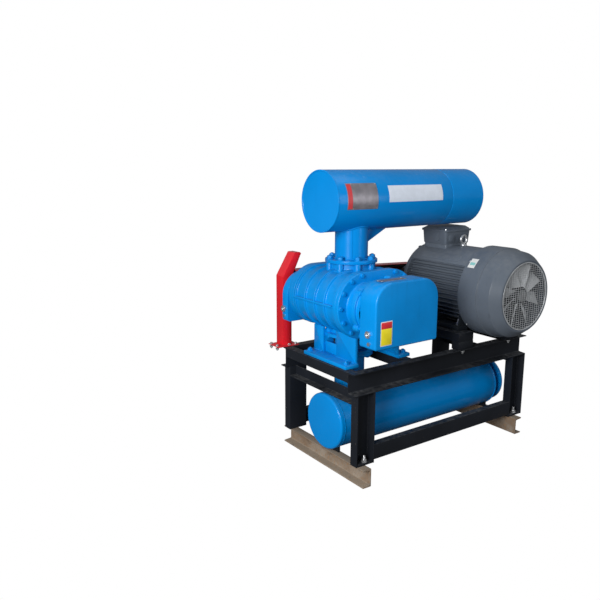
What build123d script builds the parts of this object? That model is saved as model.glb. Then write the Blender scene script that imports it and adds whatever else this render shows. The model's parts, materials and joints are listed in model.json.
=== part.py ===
from build123d import *
import os
from math import sin, cos, pi, radians, sqrt, atan2, asin, hypot

os.makedirs("parts", exist_ok=True)

# ---- driving dimensions, millimetres: origin on the floor under the middle of the frame, Z up ----
frame_length = 1350.0
frame_width = 670.0
skid_height = 100.0
skid_flange = 54.0
skid_length = 735.0
leg_height = 390.0
channel_height = 120.0
channel_flange = 53.0
channel_web = 6.0
channel_toe = 8.0
beam_overhang = 26.0
end_channel_height = 56.0
tie_angle = 50.0
tie_drop = 58.0
rail_height = 84.0
rail_lift = 17.0
foot_plate = 12.0
anchor_thread = 8.0

shaft_centre_height = 930.0
blower_x = -460.0
rotor_spacing = 184.0
rotor_tip = 122.2
rotor_relief = 0.5
bore_radius = 122.9
casing_half = 203.0
casing_skin = 157.0
casing_rib = 169.0
casing_flange = 175.0
rear_flange = 168.0
flange_thick = 25.0
rib_thick = 13.0
rib_rows = (-93.0, -7.0, 80.0, 166.0)
port_bore = 75.0
port_boss = 116.0
inlet_face = 1127.0
outlet_face = 738.0
pipe_flange_radius = 142.5
pipe_flange_thick = 18.0
bolt_circle = 120.0
stud_radius = 10.0
shaft_radius = 30.0
bearing_radius = 52.0
bearing_width = 32.0
running_gap = 0.05
fit_gap = 0.02
curved_gap = 0.3

carrier_radius = 118.0
carrier_front = -272.0
cover_flange = 133.0
cover_joint = -290.0
cover_flange_front = -305.0
cover_step = -333.0
cover_front = -454.0
cover_half = 213.0
cover_top = 1048.0
cover_bottom = 755.0
cover_corner = 108.0
cover_wall = 9.0
gear_teeth = 46
gear_module = 4.0
gear_front = -418.0
gear_room = 100.0
gear_width = 48.0
rear_box_half = 265.0
rear_box_front = 230.0
rear_box_back = 288.0
rear_box_top = 1055.0
rear_box_bottom = 775.0
rear_box_corner = 150.0

foot_top = 630.0
foot_strip_width = 87.0
foot_strip_front = -247.0
foot_strip_back = 126.0
foot_plate_inset = 72.0
foot_web = 15.0

belt_front = 331.5
belt_width = 63.0
belt_rows = 3
belt_pitch = 19.0
blower_pulley_radius = 105.0
motor_pulley_radius = 70.0
belt_top_width = 15.0
belt_bottom_width = 9.0
belt_height = 12.0
belt_crown = 2.0

neck_radius = 90.0
neck_wall = 5.0
silencer_radius = 162.5
silencer_height = 1457.0
silencer_left = -678.0
silencer_seam = 150.0
silencer_right = 407.0
silencer_wall = 4.0
intake_radius = 60.0

outlet_pipe_radius = 84.0
discharge_radius = 155.0
discharge_y = -37.0
discharge_left = -666.0
discharge_seam = 587.0
discharge_right = 676.0
discharge_wall = 5.0

motor_x = 335.0
motor_body_radius = 237.0
motor_tube_radius = 206.0
motor_tube_bore = 179.0
motor_front = -297.0
motor_back = 165.0
motor_foot_height = 225.0
motor_foot_spacing = 356.0
motor_foot_front = -240.0
motor_foot_pitch = 311.0
motor_shaft_radius = 32.5
cowl_radius = 257.0
cowl_step = -421.0
cowl_shoulder = -499.0
cowl_shoulder_radius = 241.0
cowl_front = -550.0
cowl_front_radius = 204.0
cowl_wall = 3.0
fin_count = 12
fin_pitch = 27.0
fin_thick = 6.0
slide_width = 120.0
slide_height = 50.0
block_height = 45.0

beam_bottom = skid_height + leg_height
beam_top = beam_bottom + channel_height
slide_top = beam_top + block_height + slide_height
half_length = frame_length / 2.0
half_width = frame_width / 2.0
half_spacing = rotor_spacing / 2.0
drive_x = blower_x - half_spacing
driven_x = blower_x + half_spacing
discharge_height = skid_height + discharge_radius + 3.5


def block(x0, x1, y0, y1, z0, z1):
    return Pos((x0 + x1) / 2, (y0 + y1) / 2, (z0 + z1) / 2) * Box(abs(x1 - x0), abs(y1 - y0), abs(z1 - z0))


def rod_x(radius, x0, x1, y, z):
    return Pos((x0 + x1) / 2, y, z) * Rot(0, 90, 0) * Cylinder(radius, abs(x1 - x0))


def rod_y(radius, y0, y1, x, z):
    return Pos(x, (y0 + y1) / 2, z) * Rot(90, 0, 0) * Cylinder(radius, abs(y1 - y0))


def rod_z(radius, z0, z1, x, y):
    return Pos(x, y, (z0 + z1) / 2) * Cylinder(radius, abs(z1 - z0))


def hex_y(across, y0, y1, x, z):
    sketch = Plane((x, y0, z), x_dir=(1, 0, 0), z_dir=(0, 1, 0)) * RegularPolygon(across / sqrt(3.0), 6)
    return extrude(sketch, y1 - y0)


def hex_z(across, z0, z1, x, y):
    sketch = Plane((x, y, z0), x_dir=(1, 0, 0), z_dir=(0, 0, 1)) * RegularPolygon(across / sqrt(3.0), 6)
    return extrude(sketch, z1 - z0)


def hex_x(across, x0, x1, y, z):
    sketch = Plane((x0, y, z), x_dir=(0, 1, 0), z_dir=(1, 0, 0)) * RegularPolygon(across / sqrt(3.0), 6)
    return extrude(sketch, x1 - x0)


def side_plane(y):
    return Plane((0, y, 0), x_dir=(1, 0, 0), z_dir=(0, -1, 0))


def slot_y(radius, y0, y1, spacing=rotor_spacing, x=blower_x, z=shaft_centre_height):
    sketch = side_plane(y1) * Pos(x, z) * SlotCenterToCenter(spacing, 2 * radius)
    return extrude(sketch, y1 - y0)


def outline_y(points, y0, y1):
    face = make_face(Polyline(*[(px, pz) for px, pz in points], close=True))
    return extrude(side_plane(y1) * face, y1 - y0)


def hood_y(half, bottom, top, corner, y0, y1, low=14.0, x=blower_x):
    middle = (x, (bottom + top) / 2)
    box = Rectangle(2 * half, top - bottom)
    tops = box.vertices().group_by(Axis.Y)[-1]
    box = fillet(tops, corner)
    lows = box.vertices().group_by(Axis.Y)[0]
    box = fillet(lows, low)
    return extrude(side_plane(y1) * Pos(*middle) * box, y1 - y0)


def channel_profile(height, flange, web, toe):
    # a rolled channel's section: web on the left, flanges to the right, middle of the web at the origin
    points = [(0, -height / 2), (flange, -height / 2), (flange, -height / 2 + toe), (web, -height / 2 + toe),
              (web, height / 2 - toe), (flange, height / 2 - toe), (flange, height / 2), (0, height / 2)]
    face = make_face(Polyline(*points, close=True))
    inner = [v for v in face.vertices() if abs(v.X - web) < 0.01]
    face = fillet(inner, toe * 0.8)
    tips = [v for v in face.vertices() if abs(v.X - flange) < 0.01 and abs(abs(v.Y) - height / 2 + toe) < 0.01]
    return fillet(tips, toe * 0.45)


def channel_along(start, run, height_way, flange_way, height=channel_height, flange=channel_flange,
                  web=channel_web, toe=channel_toe):
    # the section runs from start along run; the flanges point along flange_way
    length = hypot(*run)
    way = tuple(c / length for c in run)
    plane = Plane(start, x_dir=flange_way, z_dir=way)
    profile = channel_profile(height, flange, web, toe)
    return extrude(plane * profile, length)


def joined(pieces):
    total = pieces[0]
    for piece in pieces[1:]:
        total = total + piece
    return total


def group(pieces):
    return Compound([solid for piece in pieces for solid in piece.solids()])


def save(shape, name):
    # the stored origin is on the floor under the middle of the whole machine
    middle_x = (guard_foot_left + discharge_right) / 2
    middle_y = (cowl_front + guard_foot_back) / 2
    export_step(Pos(-middle_x, -middle_y, 0) * shape, "parts/" + name + ".step")


# ---- welded steel frame ----

def skids():
    low = half_width + 45.0
    left = channel_along((-613.0, -low, skid_height / 2), (0, skid_length, 0), 0, (-1, 0, 0),
                         skid_height, skid_flange, 6.0, 8.5)
    right = channel_along((565.0, -low, skid_height / 2), (0, skid_length, 0), 0, (1, 0, 0),
                          skid_height, skid_flange, 6.0, 8.5)
    return group([left, right])


def leg(x_centre, side):
    web_y = side * (half_width - channel_flange)
    post = channel_along((x_centre, web_y, skid_height), (0, 0, leg_height), 0, (0, side, 0))
    inner = channel_height / 2 - channel_toe
    shoe_edge = web_y + side * channel_web
    shoe = block(x_centre - inner, x_centre + inner, shoe_edge, side * (half_width - 1.0),
                 skid_height, skid_height + foot_plate)
    hole = rod_z(anchor_thread + 1.5, skid_height - 5, skid_height + foot_plate + 5,
                 x_centre + 8.0, side * (half_width - 22.0))
    return post + shoe - hole


def anchor_bolt(x_centre, side):
    x = x_centre + 8.0
    y = side * (half_width - 22.0)
    top = skid_height + foot_plate
    stud = rod_z(anchor_thread, skid_height + 0.2, top + 34, x, y)
    nut = hex_z(anchor_thread * 3, top, top + 13, x, y)
    return stud + nut


leg_x = half_length - channel_height / 2


def long_beam(side):
    web_y = side * (half_width - channel_flange)
    start = (-half_length - beam_overhang, web_y, beam_bottom + channel_height / 2)
    return channel_along(start, (frame_length + beam_overhang, 0, 0), 0, (0, side, 0))


def between_beams():
    return half_width - channel_flange


def end_channels():
    reach = between_beams()
    height = beam_top - end_channel_height / 2
    left = channel_along((-half_length - beam_overhang, -reach, height), (0, 2 * reach, 0), 0, (1, 0, 0),
                         end_channel_height, 50.0, 5.0, 6.5)
    right = channel_along((half_length, -reach, height), (0, 2 * reach, 0), 0, (-1, 0, 0),
                          end_channel_height, 50.0, 5.0, 6.5)
    return group([left, right])


def mid_channel():
    reach = between_beams()
    height = beam_top - end_channel_height / 2
    return channel_along((-305.0, -reach, height), (0, 2 * reach, 0), 0, (1, 0, 0),
                         end_channel_height, 50.0, 5.0, 6.5)


def low_ties():
    reach = between_beams()
    top = beam_bottom
    pieces = []
    for way in (-1, 1):
        outer = way * half_length
        inner = way * (half_length - tie_angle)
        upright = block(inner, inner + way * 6.0, -reach, reach, top - tie_drop, top)
        ledge = block(inner + way * 6.0, outer, -reach, reach, top - tie_drop, top - tie_drop + 6.0)
        pieces.append(upright + ledge)
    return group(pieces)


def side_rail(side):
    length = frame_length - 2 * channel_height
    start = (-length / 2, side * half_width, skid_height + rail_lift + rail_height / 2)
    rail = channel_along(start, (length, 0, 0), 0, (0, -side, 0), rail_height, 43.0, 5.0, 7.0)
    slots = [rod_y(4.5, side * (half_width - 8), side * (half_width + 2), x, start[2] + 16.0)
             for x in (length / 2 - 95.0, 95.0)]
    return rail - slots[0] - slots[1]


slide_y = half_width - 7.0


def motor_slide(x_centre):
    # an inverted channel laid along Y with a bolt slot for each motor foot
    half = slide_width / 2
    top = slide_top
    body = block(x_centre - half, x_centre + half, -slide_y, slide_y, top - slide_height, top)
    body -= block(x_centre - half + 7, x_centre + half - 7, -slide_y - 1, slide_y + 1, top - slide_height - 1, top - 9)
    for y in (motor_foot_front, motor_foot_front + motor_foot_pitch):
        body -= block(foot_bolt_x(x_centre) - 9.5, foot_bolt_x(x_centre) + 9.5, y - 30, y + 30, top - 12, top + 1)
    return body


def foot_bolt_x(x_centre):
    way = 1 if x_centre > motor_x else -1
    return motor_x + way * motor_foot_spacing / 2


slide_x = (130.0, 2 * motor_x - 130.0)


def slide_blocks():
    pieces = []
    for x in slide_x:
        for side in (-1, 1):
            outer = side * slide_y
            inner = side * (slide_y - 55.0)
            pad = block(x - slide_width / 2, x + slide_width / 2, inner, outer, beam_top, beam_top + block_height)
            pad -= block(x - slide_width / 2 + 8, x + slide_width / 2 - 8, inner - side * 1, outer - side * 9,
                         beam_top + 9, beam_top + block_height - 9)
            pad -= rod_z(7.0, beam_top - 1, beam_top + 12, x - 5.0, side * (half_width - 27.0))
            pieces.append(pad)
    return group(pieces)


def beam_bolt_drills():
    drills = []
    for x in slide_x:
        drills.append((x - 5.0, 27.0))
    return drills


def drilled_beam(side):
    beam = long_beam(side)
    for x, inset in beam_bolt_drills():
        beam -= rod_z(7.0, beam_top - 15, beam_top + 1, x, side * (half_width - inset))
    if side > 0:
        for x, inset in guard_bolt_spots():
            beam -= rod_z(5.0, beam_top - 15, beam_top + 1, x, half_width - inset)
    return beam


def guard_bolt_spots():
    return [(-660.0, 24.0), (-615.0, 24.0), (guard_post_x - 16, 24.0), (guard_post_x + 16, 24.0)]


def frame_bolts():
    pieces = []
    for x, inset in beam_bolt_drills():
        for side in (-1, 1):
            y = side * (half_width - inset)
            under = beam_top - channel_toe
            bolt = rod_z(6.0, under - 24, beam_top + 9, x, y)
            bolt += hex_z(18.0, under - 11, under, x, y)
            bolt += hex_z(18.0, beam_top + 9, beam_top + 17, x, y)
            pieces.append(bolt)
    for x, inset in guard_bolt_spots():
        y = half_width - inset
        under = beam_top - channel_toe
        bolt = rod_z(4.5, under - 16, beam_top + guard_sheet + 1, x, y)
        bolt += hex_z(15.0, beam_top + guard_sheet, beam_top + guard_sheet + 7, x, y)
        bolt += hex_z(15.0, under - 8, under, x, y)
        pieces.append(bolt)
    for x, y in guard_foot_bolts:
        bolt = rod_z(4.5, beam_top - 14, beam_top + guard_sheet + 1, x, y)
        bolt += hex_z(15.0, beam_top + guard_sheet, beam_top + guard_sheet + 7, x, y)
        bolt += hex_z(15.0, beam_top - 8, beam_top, x, y)
        pieces.append(bolt)
    return group(pieces)


# ---- rotary lobe blower ----

def bore_pair(radius, y0, y1):
    return rod_y(radius, y0, y1, drive_x, shaft_centre_height) + rod_y(radius, y0, y1, driven_x, shaft_centre_height)


def port_spots(count=8):
    return [(bolt_circle * cos(radians(22.5 + 45 * k)), bolt_circle * sin(radians(22.5 + 45 * k))) for k in range(count)]


def rotor_casing():
    body = slot_y(casing_skin, -casing_half, casing_half)
    for y in rib_rows:
        body += slot_y(casing_rib, y - rib_thick / 2, y + rib_thick / 2)
    body += slot_y(casing_flange, -casing_half, -casing_half + flange_thick)
    body += slot_y(rear_flange, casing_half - flange_thick, casing_half)
    body += rod_z(port_boss, shaft_centre_height, inlet_face, blower_x, 0)
    body += rod_z(port_boss, outlet_face, shaft_centre_height, blower_x, 0)
    for dx, dy in port_spots():
        body += rod_z(19.0, shaft_centre_height + 100, inlet_face, blower_x + dx, dy)
        body += rod_z(19.0, outlet_face, shaft_centre_height - 100, blower_x + dx, dy)
    side = casing_skin + half_spacing
    for way in (-1, 1):
        body += block(blower_x + way * (side - 12), blower_x + way * (side + 17),
                      -casing_half + 38, casing_half - 32, shaft_centre_height - 6, shaft_centre_height + 6)
    body -= bore_pair(bore_radius, -casing_half - 1, casing_half + 1)
    body -= rod_z(port_bore, outlet_face - 1, inlet_face + 1, blower_x, 0)
    for dx, dy in port_spots():
        body -= rod_z(stud_radius + fit_gap, inlet_face - 24, inlet_face + 1, blower_x + dx, dy)
        body -= rod_z(stud_radius + fit_gap, outlet_face - 1, outlet_face + 24, blower_x + dx, dy)
    return body


plate_bolt_ring = 160.0
plate_bolt_angles = (98.0, 124.0, 152.0, 180.0, 208.0, 236.0, 262.0)
plate_bolt_radius = 6.0


def plate_bolt_spots():
    spots = []
    for angle in plate_bolt_angles:
        dx = plate_bolt_ring * cos(radians(angle))
        dz = plate_bolt_ring * sin(radians(angle))
        spots.append((drive_x + dx, shaft_centre_height + dz))
        spots.append((driven_x - dx, shaft_centre_height + dz))
    return spots


cover_ears = ((-637.0, 1014.0), (-449.0, 1069.0), (-651.0, 838.0),
              (2 * blower_x + 637.0, 1014.0), (2 * blower_x + 651.0, 838.0))
ear_radius = 17.0


def gear_end_plate():
    plate = slot_y(casing_flange, -casing_half - flange_thick, -casing_half)
    plate += slot_y(carrier_radius, carrier_front, -casing_half - flange_thick)
    plate += slot_y(cover_flange, cover_joint, carrier_front)
    for x, z in cover_ears:
        plate += rod_y(ear_radius, cover_joint, carrier_front, x, z)
    plate -= bore_pair(shaft_radius + 4.0, cover_joint - 1, -casing_half + 1)
    plate -= bore_pair(bearing_radius + fit_gap, -242.0 - bearing_width, -242.0)
    plate -= bore_pair(bearing_radius - 4.0, cover_joint - 1, -242.0)
    for x, z in plate_bolt_spots():
        plate -= rod_y(plate_bolt_radius + 0.5, -casing_half - flange_thick - 1, -casing_half + 1, x, z)
    for x, z in cover_ears:
        plate -= rod_y(5.5, cover_joint - 1, carrier_front + 1, x, z)
    return plate


def gear_cover():
    body = hood_y(cover_half, cover_bottom, cover_top, cover_corner, cover_front, cover_step)
    body += slot_y(cover_flange - 12.0, cover_step, cover_flange_front)
    body += slot_y(cover_flange, cover_flange_front, cover_joint)
    for x, z in cover_ears:
        body += rod_y(ear_radius, cover_flange_front - 4.0, cover_joint, x, z)
    front_edges = body.faces().sort_by(Axis.Y)[0].edges()
    body = fillet(front_edges, 7.0)
    wall = cover_wall
    body -= hood_y(cover_half - wall, cover_bottom + wall, cover_top - wall, cover_corner - wall,
                   cover_front + wall, cover_step - wall)
    body -= slot_y(gear_room, cover_step - wall - 1, cover_joint + 1)
    for x, z in cover_ears:
        body -= rod_y(5.5, cover_flange_front - 5, cover_joint + 1, x, z)
        body -= rod_y(12.0, cover_step + 2, cover_flange_front - 4, x, z)
    sight_x, sight_y, sight_z = gear_sight
    body -= rod_x(13.0, sight_x - 1, sight_x + wall + 2, sight_y, sight_z)
    drain_x, drain_y, drain_z = gear_drain
    body -= rod_x(7.0, drain_x - 1, drain_x + wall + 2, drain_y, drain_z)
    body -= rod_z(6.0, cover_top - wall - 2, cover_top + 1, breather_spot[0], breather_spot[1])
    return body


gear_sight = (blower_x - cover_half, -404.0, 831.0)
gear_drain = (blower_x - cover_half, -410.0, 784.0)
rear_sight = (blower_x - rear_box_half, 262.0, 848.0)
rear_drain = (blower_x - rear_box_half, 262.0, 806.0)
breather_spot = (-434.0, -372.0)


def drive_end_plate():
    plate = slot_y(rear_flange, casing_half, rear_box_front)
    for x in (drive_x, driven_x):
        plate += rod_y(74.0, rear_box_front, rear_box_front + 38.0, x, shaft_centre_height)
    plate -= bore_pair(shaft_radius + 4.0, casing_half - 1, rear_box_front + 50)
    plate -= bore_pair(bearing_radius + fit_gap, rear_box_front + 3, rear_box_front + 3 + bearing_width)
    plate -= bore_pair(bearing_radius - 4.0, rear_box_front + 3, rear_box_front + 50)
    return plate


def drive_end_cover():
    body = hood_y(rear_box_half, rear_box_bottom, rear_box_top, rear_box_corner, rear_box_front, rear_box_back, 20.0)
    back_edges = body.faces().sort_by(Axis.Y)[-1].edges()
    body = fillet(back_edges, 8.0)
    wall = cover_wall
    body -= hood_y(rear_box_half - wall, rear_box_bottom + wall, rear_box_top - wall, rear_box_corner - wall,
                   rear_box_front - 1, rear_box_back - wall, 12.0)
    body -= rod_y(shaft_radius + 6.0, rear_box_back - wall - 1, rear_box_back + 1, drive_x, shaft_centre_height)
    sight_x, sight_y, sight_z = rear_sight
    body -= rod_x(13.0, sight_x - 1, sight_x + wall + 2, sight_y, sight_z)
    drain_x, drain_y, drain_z = rear_drain
    body -= rod_x(7.0, drain_x - 1, drain_x + wall + 2, drain_y, drain_z)
    return body


def seal_cap():
    cap = rod_y(64.0, rear_box_back, rear_box_back + 14.0, drive_x, shaft_centre_height)
    cap += rod_y(48.0, rear_box_back + 14.0, rear_box_back + 22.0, drive_x, shaft_centre_height)
    cap -= rod_y(shaft_radius + running_gap, rear_box_back - 1, rear_box_back + 30, drive_x, shaft_centre_height)
    for k in range(6):
        angle = radians(30 + 60 * k)
        cap += hex_y(10.0, rear_box_back + 14.0, rear_box_back + 19.0, drive_x + 56 * cos(angle),
                     shaft_centre_height + 56 * sin(angle))
    return cap


def shaft_bearings():
    pieces = []
    for x in (drive_x, driven_x):
        for y0 in (-242.0 - bearing_width, rear_box_front + 3):
            ring = rod_y(bearing_radius, y0 + fit_gap, y0 + bearing_width - fit_gap, x, shaft_centre_height)
            ring -= rod_y(shaft_radius + running_gap, y0 - 1, y0 + bearing_width + 1, x, shaft_centre_height)
            groove = rod_y(45.0, y0 - 1, y0 + 4, x, shaft_centre_height) - rod_y(37.0, y0 - 1, y0 + 4, x, shaft_centre_height)
            pieces.append(ring - groove)
    for y0 in (motor_front - 2.0, motor_back + 20.0):
        ring = rod_y(70.0, y0 + fit_gap, y0 + 30.0 - fit_gap, motor_x, shaft_centre_height)
        ring -= rod_y(motor_shaft_radius + running_gap, y0 - 1, y0 + 31, motor_x, shaft_centre_height)
        pieces.append(ring)
    return group(pieces)


def lobe_points(count=96, shrink=rotor_relief, turn=0.0):
    # three-lobed profile: alternate arcs of an epicycloid and a hypocycloid on the pitch circle
    pitch = half_spacing
    rolling = pitch / 6.0
    points = []
    for k in range(count):
        t = 2 * pi * k / count
        swing = t % (2 * pi / 3)
        lobe = swing < pi / 3
        if lobe:
            x = (pitch + rolling) * cos(t) - rolling * cos((pitch + rolling) / rolling * t)
            y = (pitch + rolling) * sin(t) - rolling * sin((pitch + rolling) / rolling * t)
        else:
            x = (pitch - rolling) * cos(t) + rolling * cos((pitch - rolling) / rolling * t)
            y = (pitch - rolling) * sin(t) - rolling * sin((pitch - rolling) / rolling * t)
        radius = hypot(x, y) - shrink
        angle = atan2(y, x) - pi / 6 + turn
        points.append((radius * cos(angle), radius * sin(angle)))
    return points


def lobe_rotor(x, turn, y_front, y_back):
    half = casing_half - 0.6
    loop = Spline(*lobe_points(turn=turn), periodic=True)
    profile = Pos(x, shaft_centre_height) * make_face(loop)
    body = extrude(side_plane(half) * profile, 2 * half)
    body += rod_y(shaft_radius, y_front, y_back, x, shaft_centre_height)
    for y0, y1 in ((-242.0, -half), (half, rear_box_front + 3)):
        body += rod_y(shaft_radius + 3.0, y0 + fit_gap, y1 - fit_gap, x, shaft_centre_height)
    return body


def timing_gear(x, turn):
    pitch = gear_module * gear_teeth / 2
    outer = pitch + gear_module * 0.9
    root = pitch - gear_module * 1.15
    step = 2 * pi / gear_teeth
    points = []
    for k in range(gear_teeth):
        centre = turn + k * step
        for radius, part in ((root, -0.34), (outer, -0.13), (outer, 0.13), (root, 0.34)):
            angle = centre + part * step
            points.append((x + radius * cos(angle), shaft_centre_height + radius * sin(angle)))
    gear = outline_y(points, gear_front, gear_front + gear_width)
    gear += rod_y(48.0, gear_front - 9, gear_front + gear_width + 10, x, shaft_centre_height)
    for k in range(5):
        angle = 2 * pi * k / 5 + 0.3
        gear -= rod_y(11.0, gear_front - 1, gear_front + gear_width + 1, x + 64 * cos(angle),
                      shaft_centre_height + 64 * sin(angle))
    gear -= rod_y(shaft_radius + fit_gap, gear_front - 10, gear_front + gear_width + 12, x, shaft_centre_height)
    return gear


def belt_pulley(x, radius, bore):
    # revolved rim, web and hub with one tapered groove for each belt
    gap = curved_gap
    y0 = belt_front
    middle = y0 + belt_width / 2
    rim = [(radius, y0)]
    for k in range(belt_rows):
        centre = middle + (k - (belt_rows - 1) / 2) * belt_pitch
        half_top = belt_top_width / 2 + gap
        half_low = belt_bottom_width / 2 + gap
        floor = radius + belt_crown - belt_height - 2.0
        rim += [(radius, centre - half_top), (floor, centre - half_low), (floor, centre + half_low), (radius, centre + half_top)]
    rim += [(radius, y0 + belt_width)]
    inner = radius - 21.0
    hub = bore + 13.0
    back = [(inner, y0 + belt_width), (inner, middle + 7), (hub, middle + 7), (hub, y0 + belt_width), (bore, y0 + belt_width),
            (bore, y0), (hub, y0), (hub, middle - 7), (inner, middle - 7), (inner, y0)]
    face = make_face(Polyline(*(rim + back), close=True))
    return Pos(x, 0, shaft_centre_height) * revolve(face, Axis.Y, 360)


def belt_run(outer_left, outer_right):
    # the loop around both pulleys at the given radii, as a closed sketch
    span = motor_x - drive_x
    lean = asin((outer_left - outer_right) / span)
    points = []
    for k in range(25):
        angle = pi / 2 - lean + (pi + 2 * lean) * k / 24
        points.append((drive_x + outer_left * cos(angle), shaft_centre_height + outer_left * sin(angle)))
    for k in range(25):
        angle = -pi / 2 + lean + (pi - 2 * lean) * k / 24
        points.append((motor_x + outer_right * cos(angle), shaft_centre_height + outer_right * sin(angle)))
    return points


def drive_belts():
    pieces = []
    middle = belt_front + belt_width / 2
    layers = ((belt_crown + curved_gap, 0.2, belt_top_width), (0.2, -3.6, belt_top_width - 2.0),
              (-3.6, belt_crown + curved_gap - belt_height, belt_bottom_width + 0.6))
    for k in range(belt_rows):
        centre = middle + (k - (belt_rows - 1) / 2) * belt_pitch
        rings = []
        for outside, inside, width in layers:
            ring = outline_y(belt_run(blower_pulley_radius + outside, motor_pulley_radius + outside),
                             centre - width / 2, centre + width / 2)
            ring -= outline_y(belt_run(blower_pulley_radius + inside, motor_pulley_radius + inside),
                              centre - width, centre + width)
            rings.append(ring)
        pieces.append(joined(rings))
    return group(pieces)


def blower_foot(way):
    # way -1 is the left foot and +1 its mirror image
    outer = blower_x + way * 227.0
    inner = outer - way * foot_strip_width
    strip = block(outer, inner, foot_strip_front, foot_strip_back, beam_top, foot_top)
    plate_x = outer - way * foot_plate_inset
    plate_in = plate_x - way * foot_web
    top = shaft_centre_height
    front = block(plate_x, plate_in, -237.0, -75.0, foot_top, top)
    rear = block(plate_x, plate_in, 41.0, foot_strip_back, foot_top, top)
    ribs = block(plate_in, plate_in - way * 58.0, -89.0, -75.0, foot_top, top)
    ribs += block(plate_in, plate_in - way * 58.0, 41.0, 55.0, foot_top, top)
    body = strip + front + rear + ribs
    body -= block(plate_in - way * 8.0, plate_in - way * 60.0, -100.0, 60.0, foot_top - 1, foot_top + 36)
    body -= slot_y(casing_flange + curved_gap, -casing_half - flange_thick - 20, -casing_half + flange_thick + 0.3)
    body -= slot_y(casing_skin + curved_gap, -casing_half, casing_half)
    for y in rib_rows:
        body -= slot_y(casing_rib + curved_gap, y - rib_thick / 2 - 0.3, y + rib_thick / 2 + 0.3)
    body -= rod_z(port_boss + 30.0, outlet_face - 10, shaft_centre_height, blower_x, 0)
    body -= rod_z(pipe_flange_radius + 1.0, outlet_face - pipe_flange_thick - 24, outlet_face + 5, blower_x, 0)
    for y in (foot_strip_front + 30.0, foot_strip_back - 26.0):
        body -= rod_z(8.5, beam_top - 1, foot_top + 1, outer - way * 26.0, y)
    return body


def foot_bolts():
    pieces = []
    for way in (-1, 1):
        x = blower_x + way * (227.0 - 26.0)
        for y in (foot_strip_front + 30.0, foot_strip_back - 26.0):
            low = beam_top
            bolt = rod_z(8.0, low, foot_top + 16, x, y) + hex_z(24.0, foot_top, foot_top + 11, x, y)
            pieces.append(bolt)
    return pieces


def plate_bolts():
    pieces = []
    face = -casing_half - flange_thick
    for x, z in plate_bolt_spots():
        pieces.append(hex_y(17.0, face - 8.0, face, x, z) + rod_y(plate_bolt_radius, face, -casing_half, x, z))
    for x, z in cover_ears:
        bolt = rod_y(5.0, cover_flange_front - 4, carrier_front, x, z)
        bolt += hex_y(16.0, cover_flange_front - 12, cover_flange_front - 4, x, z)
        pieces.append(bolt)
    return group(pieces + foot_bolts())


def sight_glasses():
    pieces = []
    for x, y, z in (gear_sight, rear_sight):
        body = hex_x(34.0, x - 11.0, x, y, z) + rod_x(12.8, x, x + cover_wall, y, z)
        body += rod_x(13.5, x - 15.0, x - 11.0, y, z)
        body -= rod_x(9.0, x - 16.0, x - 6.0, y, z)
        pieces.append(body)
    return group(pieces)


def drain_plugs():
    pieces = []
    for x, y, z in (gear_drain, rear_drain):
        pieces.append(hex_x(17.0, x - 9.0, x, y, z) + rod_x(6.8, x, x + cover_wall, y, z))
    return group(pieces)


def breather():
    x, y = breather_spot
    body = hex_z(19.0, cover_top, cover_top + 6, x, y) + rod_z(5.8, cover_top - cover_wall, cover_top, x, y)
    return body + rod_z(6.0, cover_top + 6, cover_top + 12, x, y) + rod_z(12.0, cover_top + 12, cover_top + 26, x, y)


# ---- inlet side ----

def pipe_flange(z0, x=blower_x, y=0.0, bore=port_bore):
    ring = rod_z(pipe_flange_radius, z0, z0 + pipe_flange_thick, x, y)
    ring -= rod_z(bore, z0 - 1, z0 + pipe_flange_thick + 1, x, y)
    for dx, dy in port_spots():
        ring -= rod_z(stud_radius + 1.0, z0 - 1, z0 + pipe_flange_thick + 1, x + dx, y + dy)
    return ring


def inlet_neck():
    top = silencer_height
    pipe = rod_z(neck_radius, inlet_face + pipe_flange_thick - 2, top, blower_x, 0)
    pipe -= rod_z(neck_radius - neck_wall, inlet_face - 1, top + 1, blower_x, 0)
    neck = pipe + pipe_flange(inlet_face, bore=neck_radius - neck_wall)
    gusset = [(blower_x + neck_radius - 4, 1213.0), (blower_x + neck_radius - 4, 1330.0), (-150.0, 1330.0), (-210.0, 1299.0)]
    neck += outline_y(gusset, -5.0, 5.0)
    neck -= rod_x(silencer_radius + fit_gap, silencer_left - 10, silencer_right + 10, 0, silencer_height)
    neck -= rod_z(neck_radius - neck_wall, inlet_face - 1, top + 1, blower_x, 0)
    return neck


def inlet_silencer():
    shell = rod_x(silencer_radius, silencer_left + 8, silencer_seam, 0, silencer_height)
    shell += rod_x(silencer_radius - 3, silencer_left + 3, silencer_left + 8, 0, silencer_height)
    shell += rod_x(silencer_radius, silencer_left, silencer_left + 4, 0, silencer_height)
    shell -= rod_x(silencer_radius - silencer_wall, silencer_left + 8, silencer_seam + 1, 0, silencer_height)
    shell -= rod_z(neck_radius - neck_wall, silencer_height - silencer_radius - 5, silencer_height, blower_x, 0)
    return shell


def filter_head():
    # removable end section that carries the air filter, with a round intake in its end
    start = silencer_seam
    body = rod_x(silencer_radius, start, silencer_right, 0, silencer_height)
    body -= rod_x(silencer_radius - silencer_wall, start - 1, silencer_right - 4, 0, silencer_height)
    body -= rod_x(intake_radius, silencer_right - 6, silencer_right + 1, 0, silencer_height)
    return body


def port_bolts():
    pieces = []
    for dx, dy in port_spots():
        x = blower_x + dx
        top = inlet_face + pipe_flange_thick
        bolt = rod_z(stud_radius, inlet_face - 24, top + 20, x, dy) + hex_z(28.0, top, top + 14, x, dy)
        pieces.append(bolt)
        low = outlet_face - pipe_flange_thick
        bolt = rod_z(stud_radius, low - 18, outlet_face + 24, x, dy) + hex_z(28.0, low - 14, low, x, dy)
        pieces.append(bolt)
    return group(pieces)


# ---- discharge side ----

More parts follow.
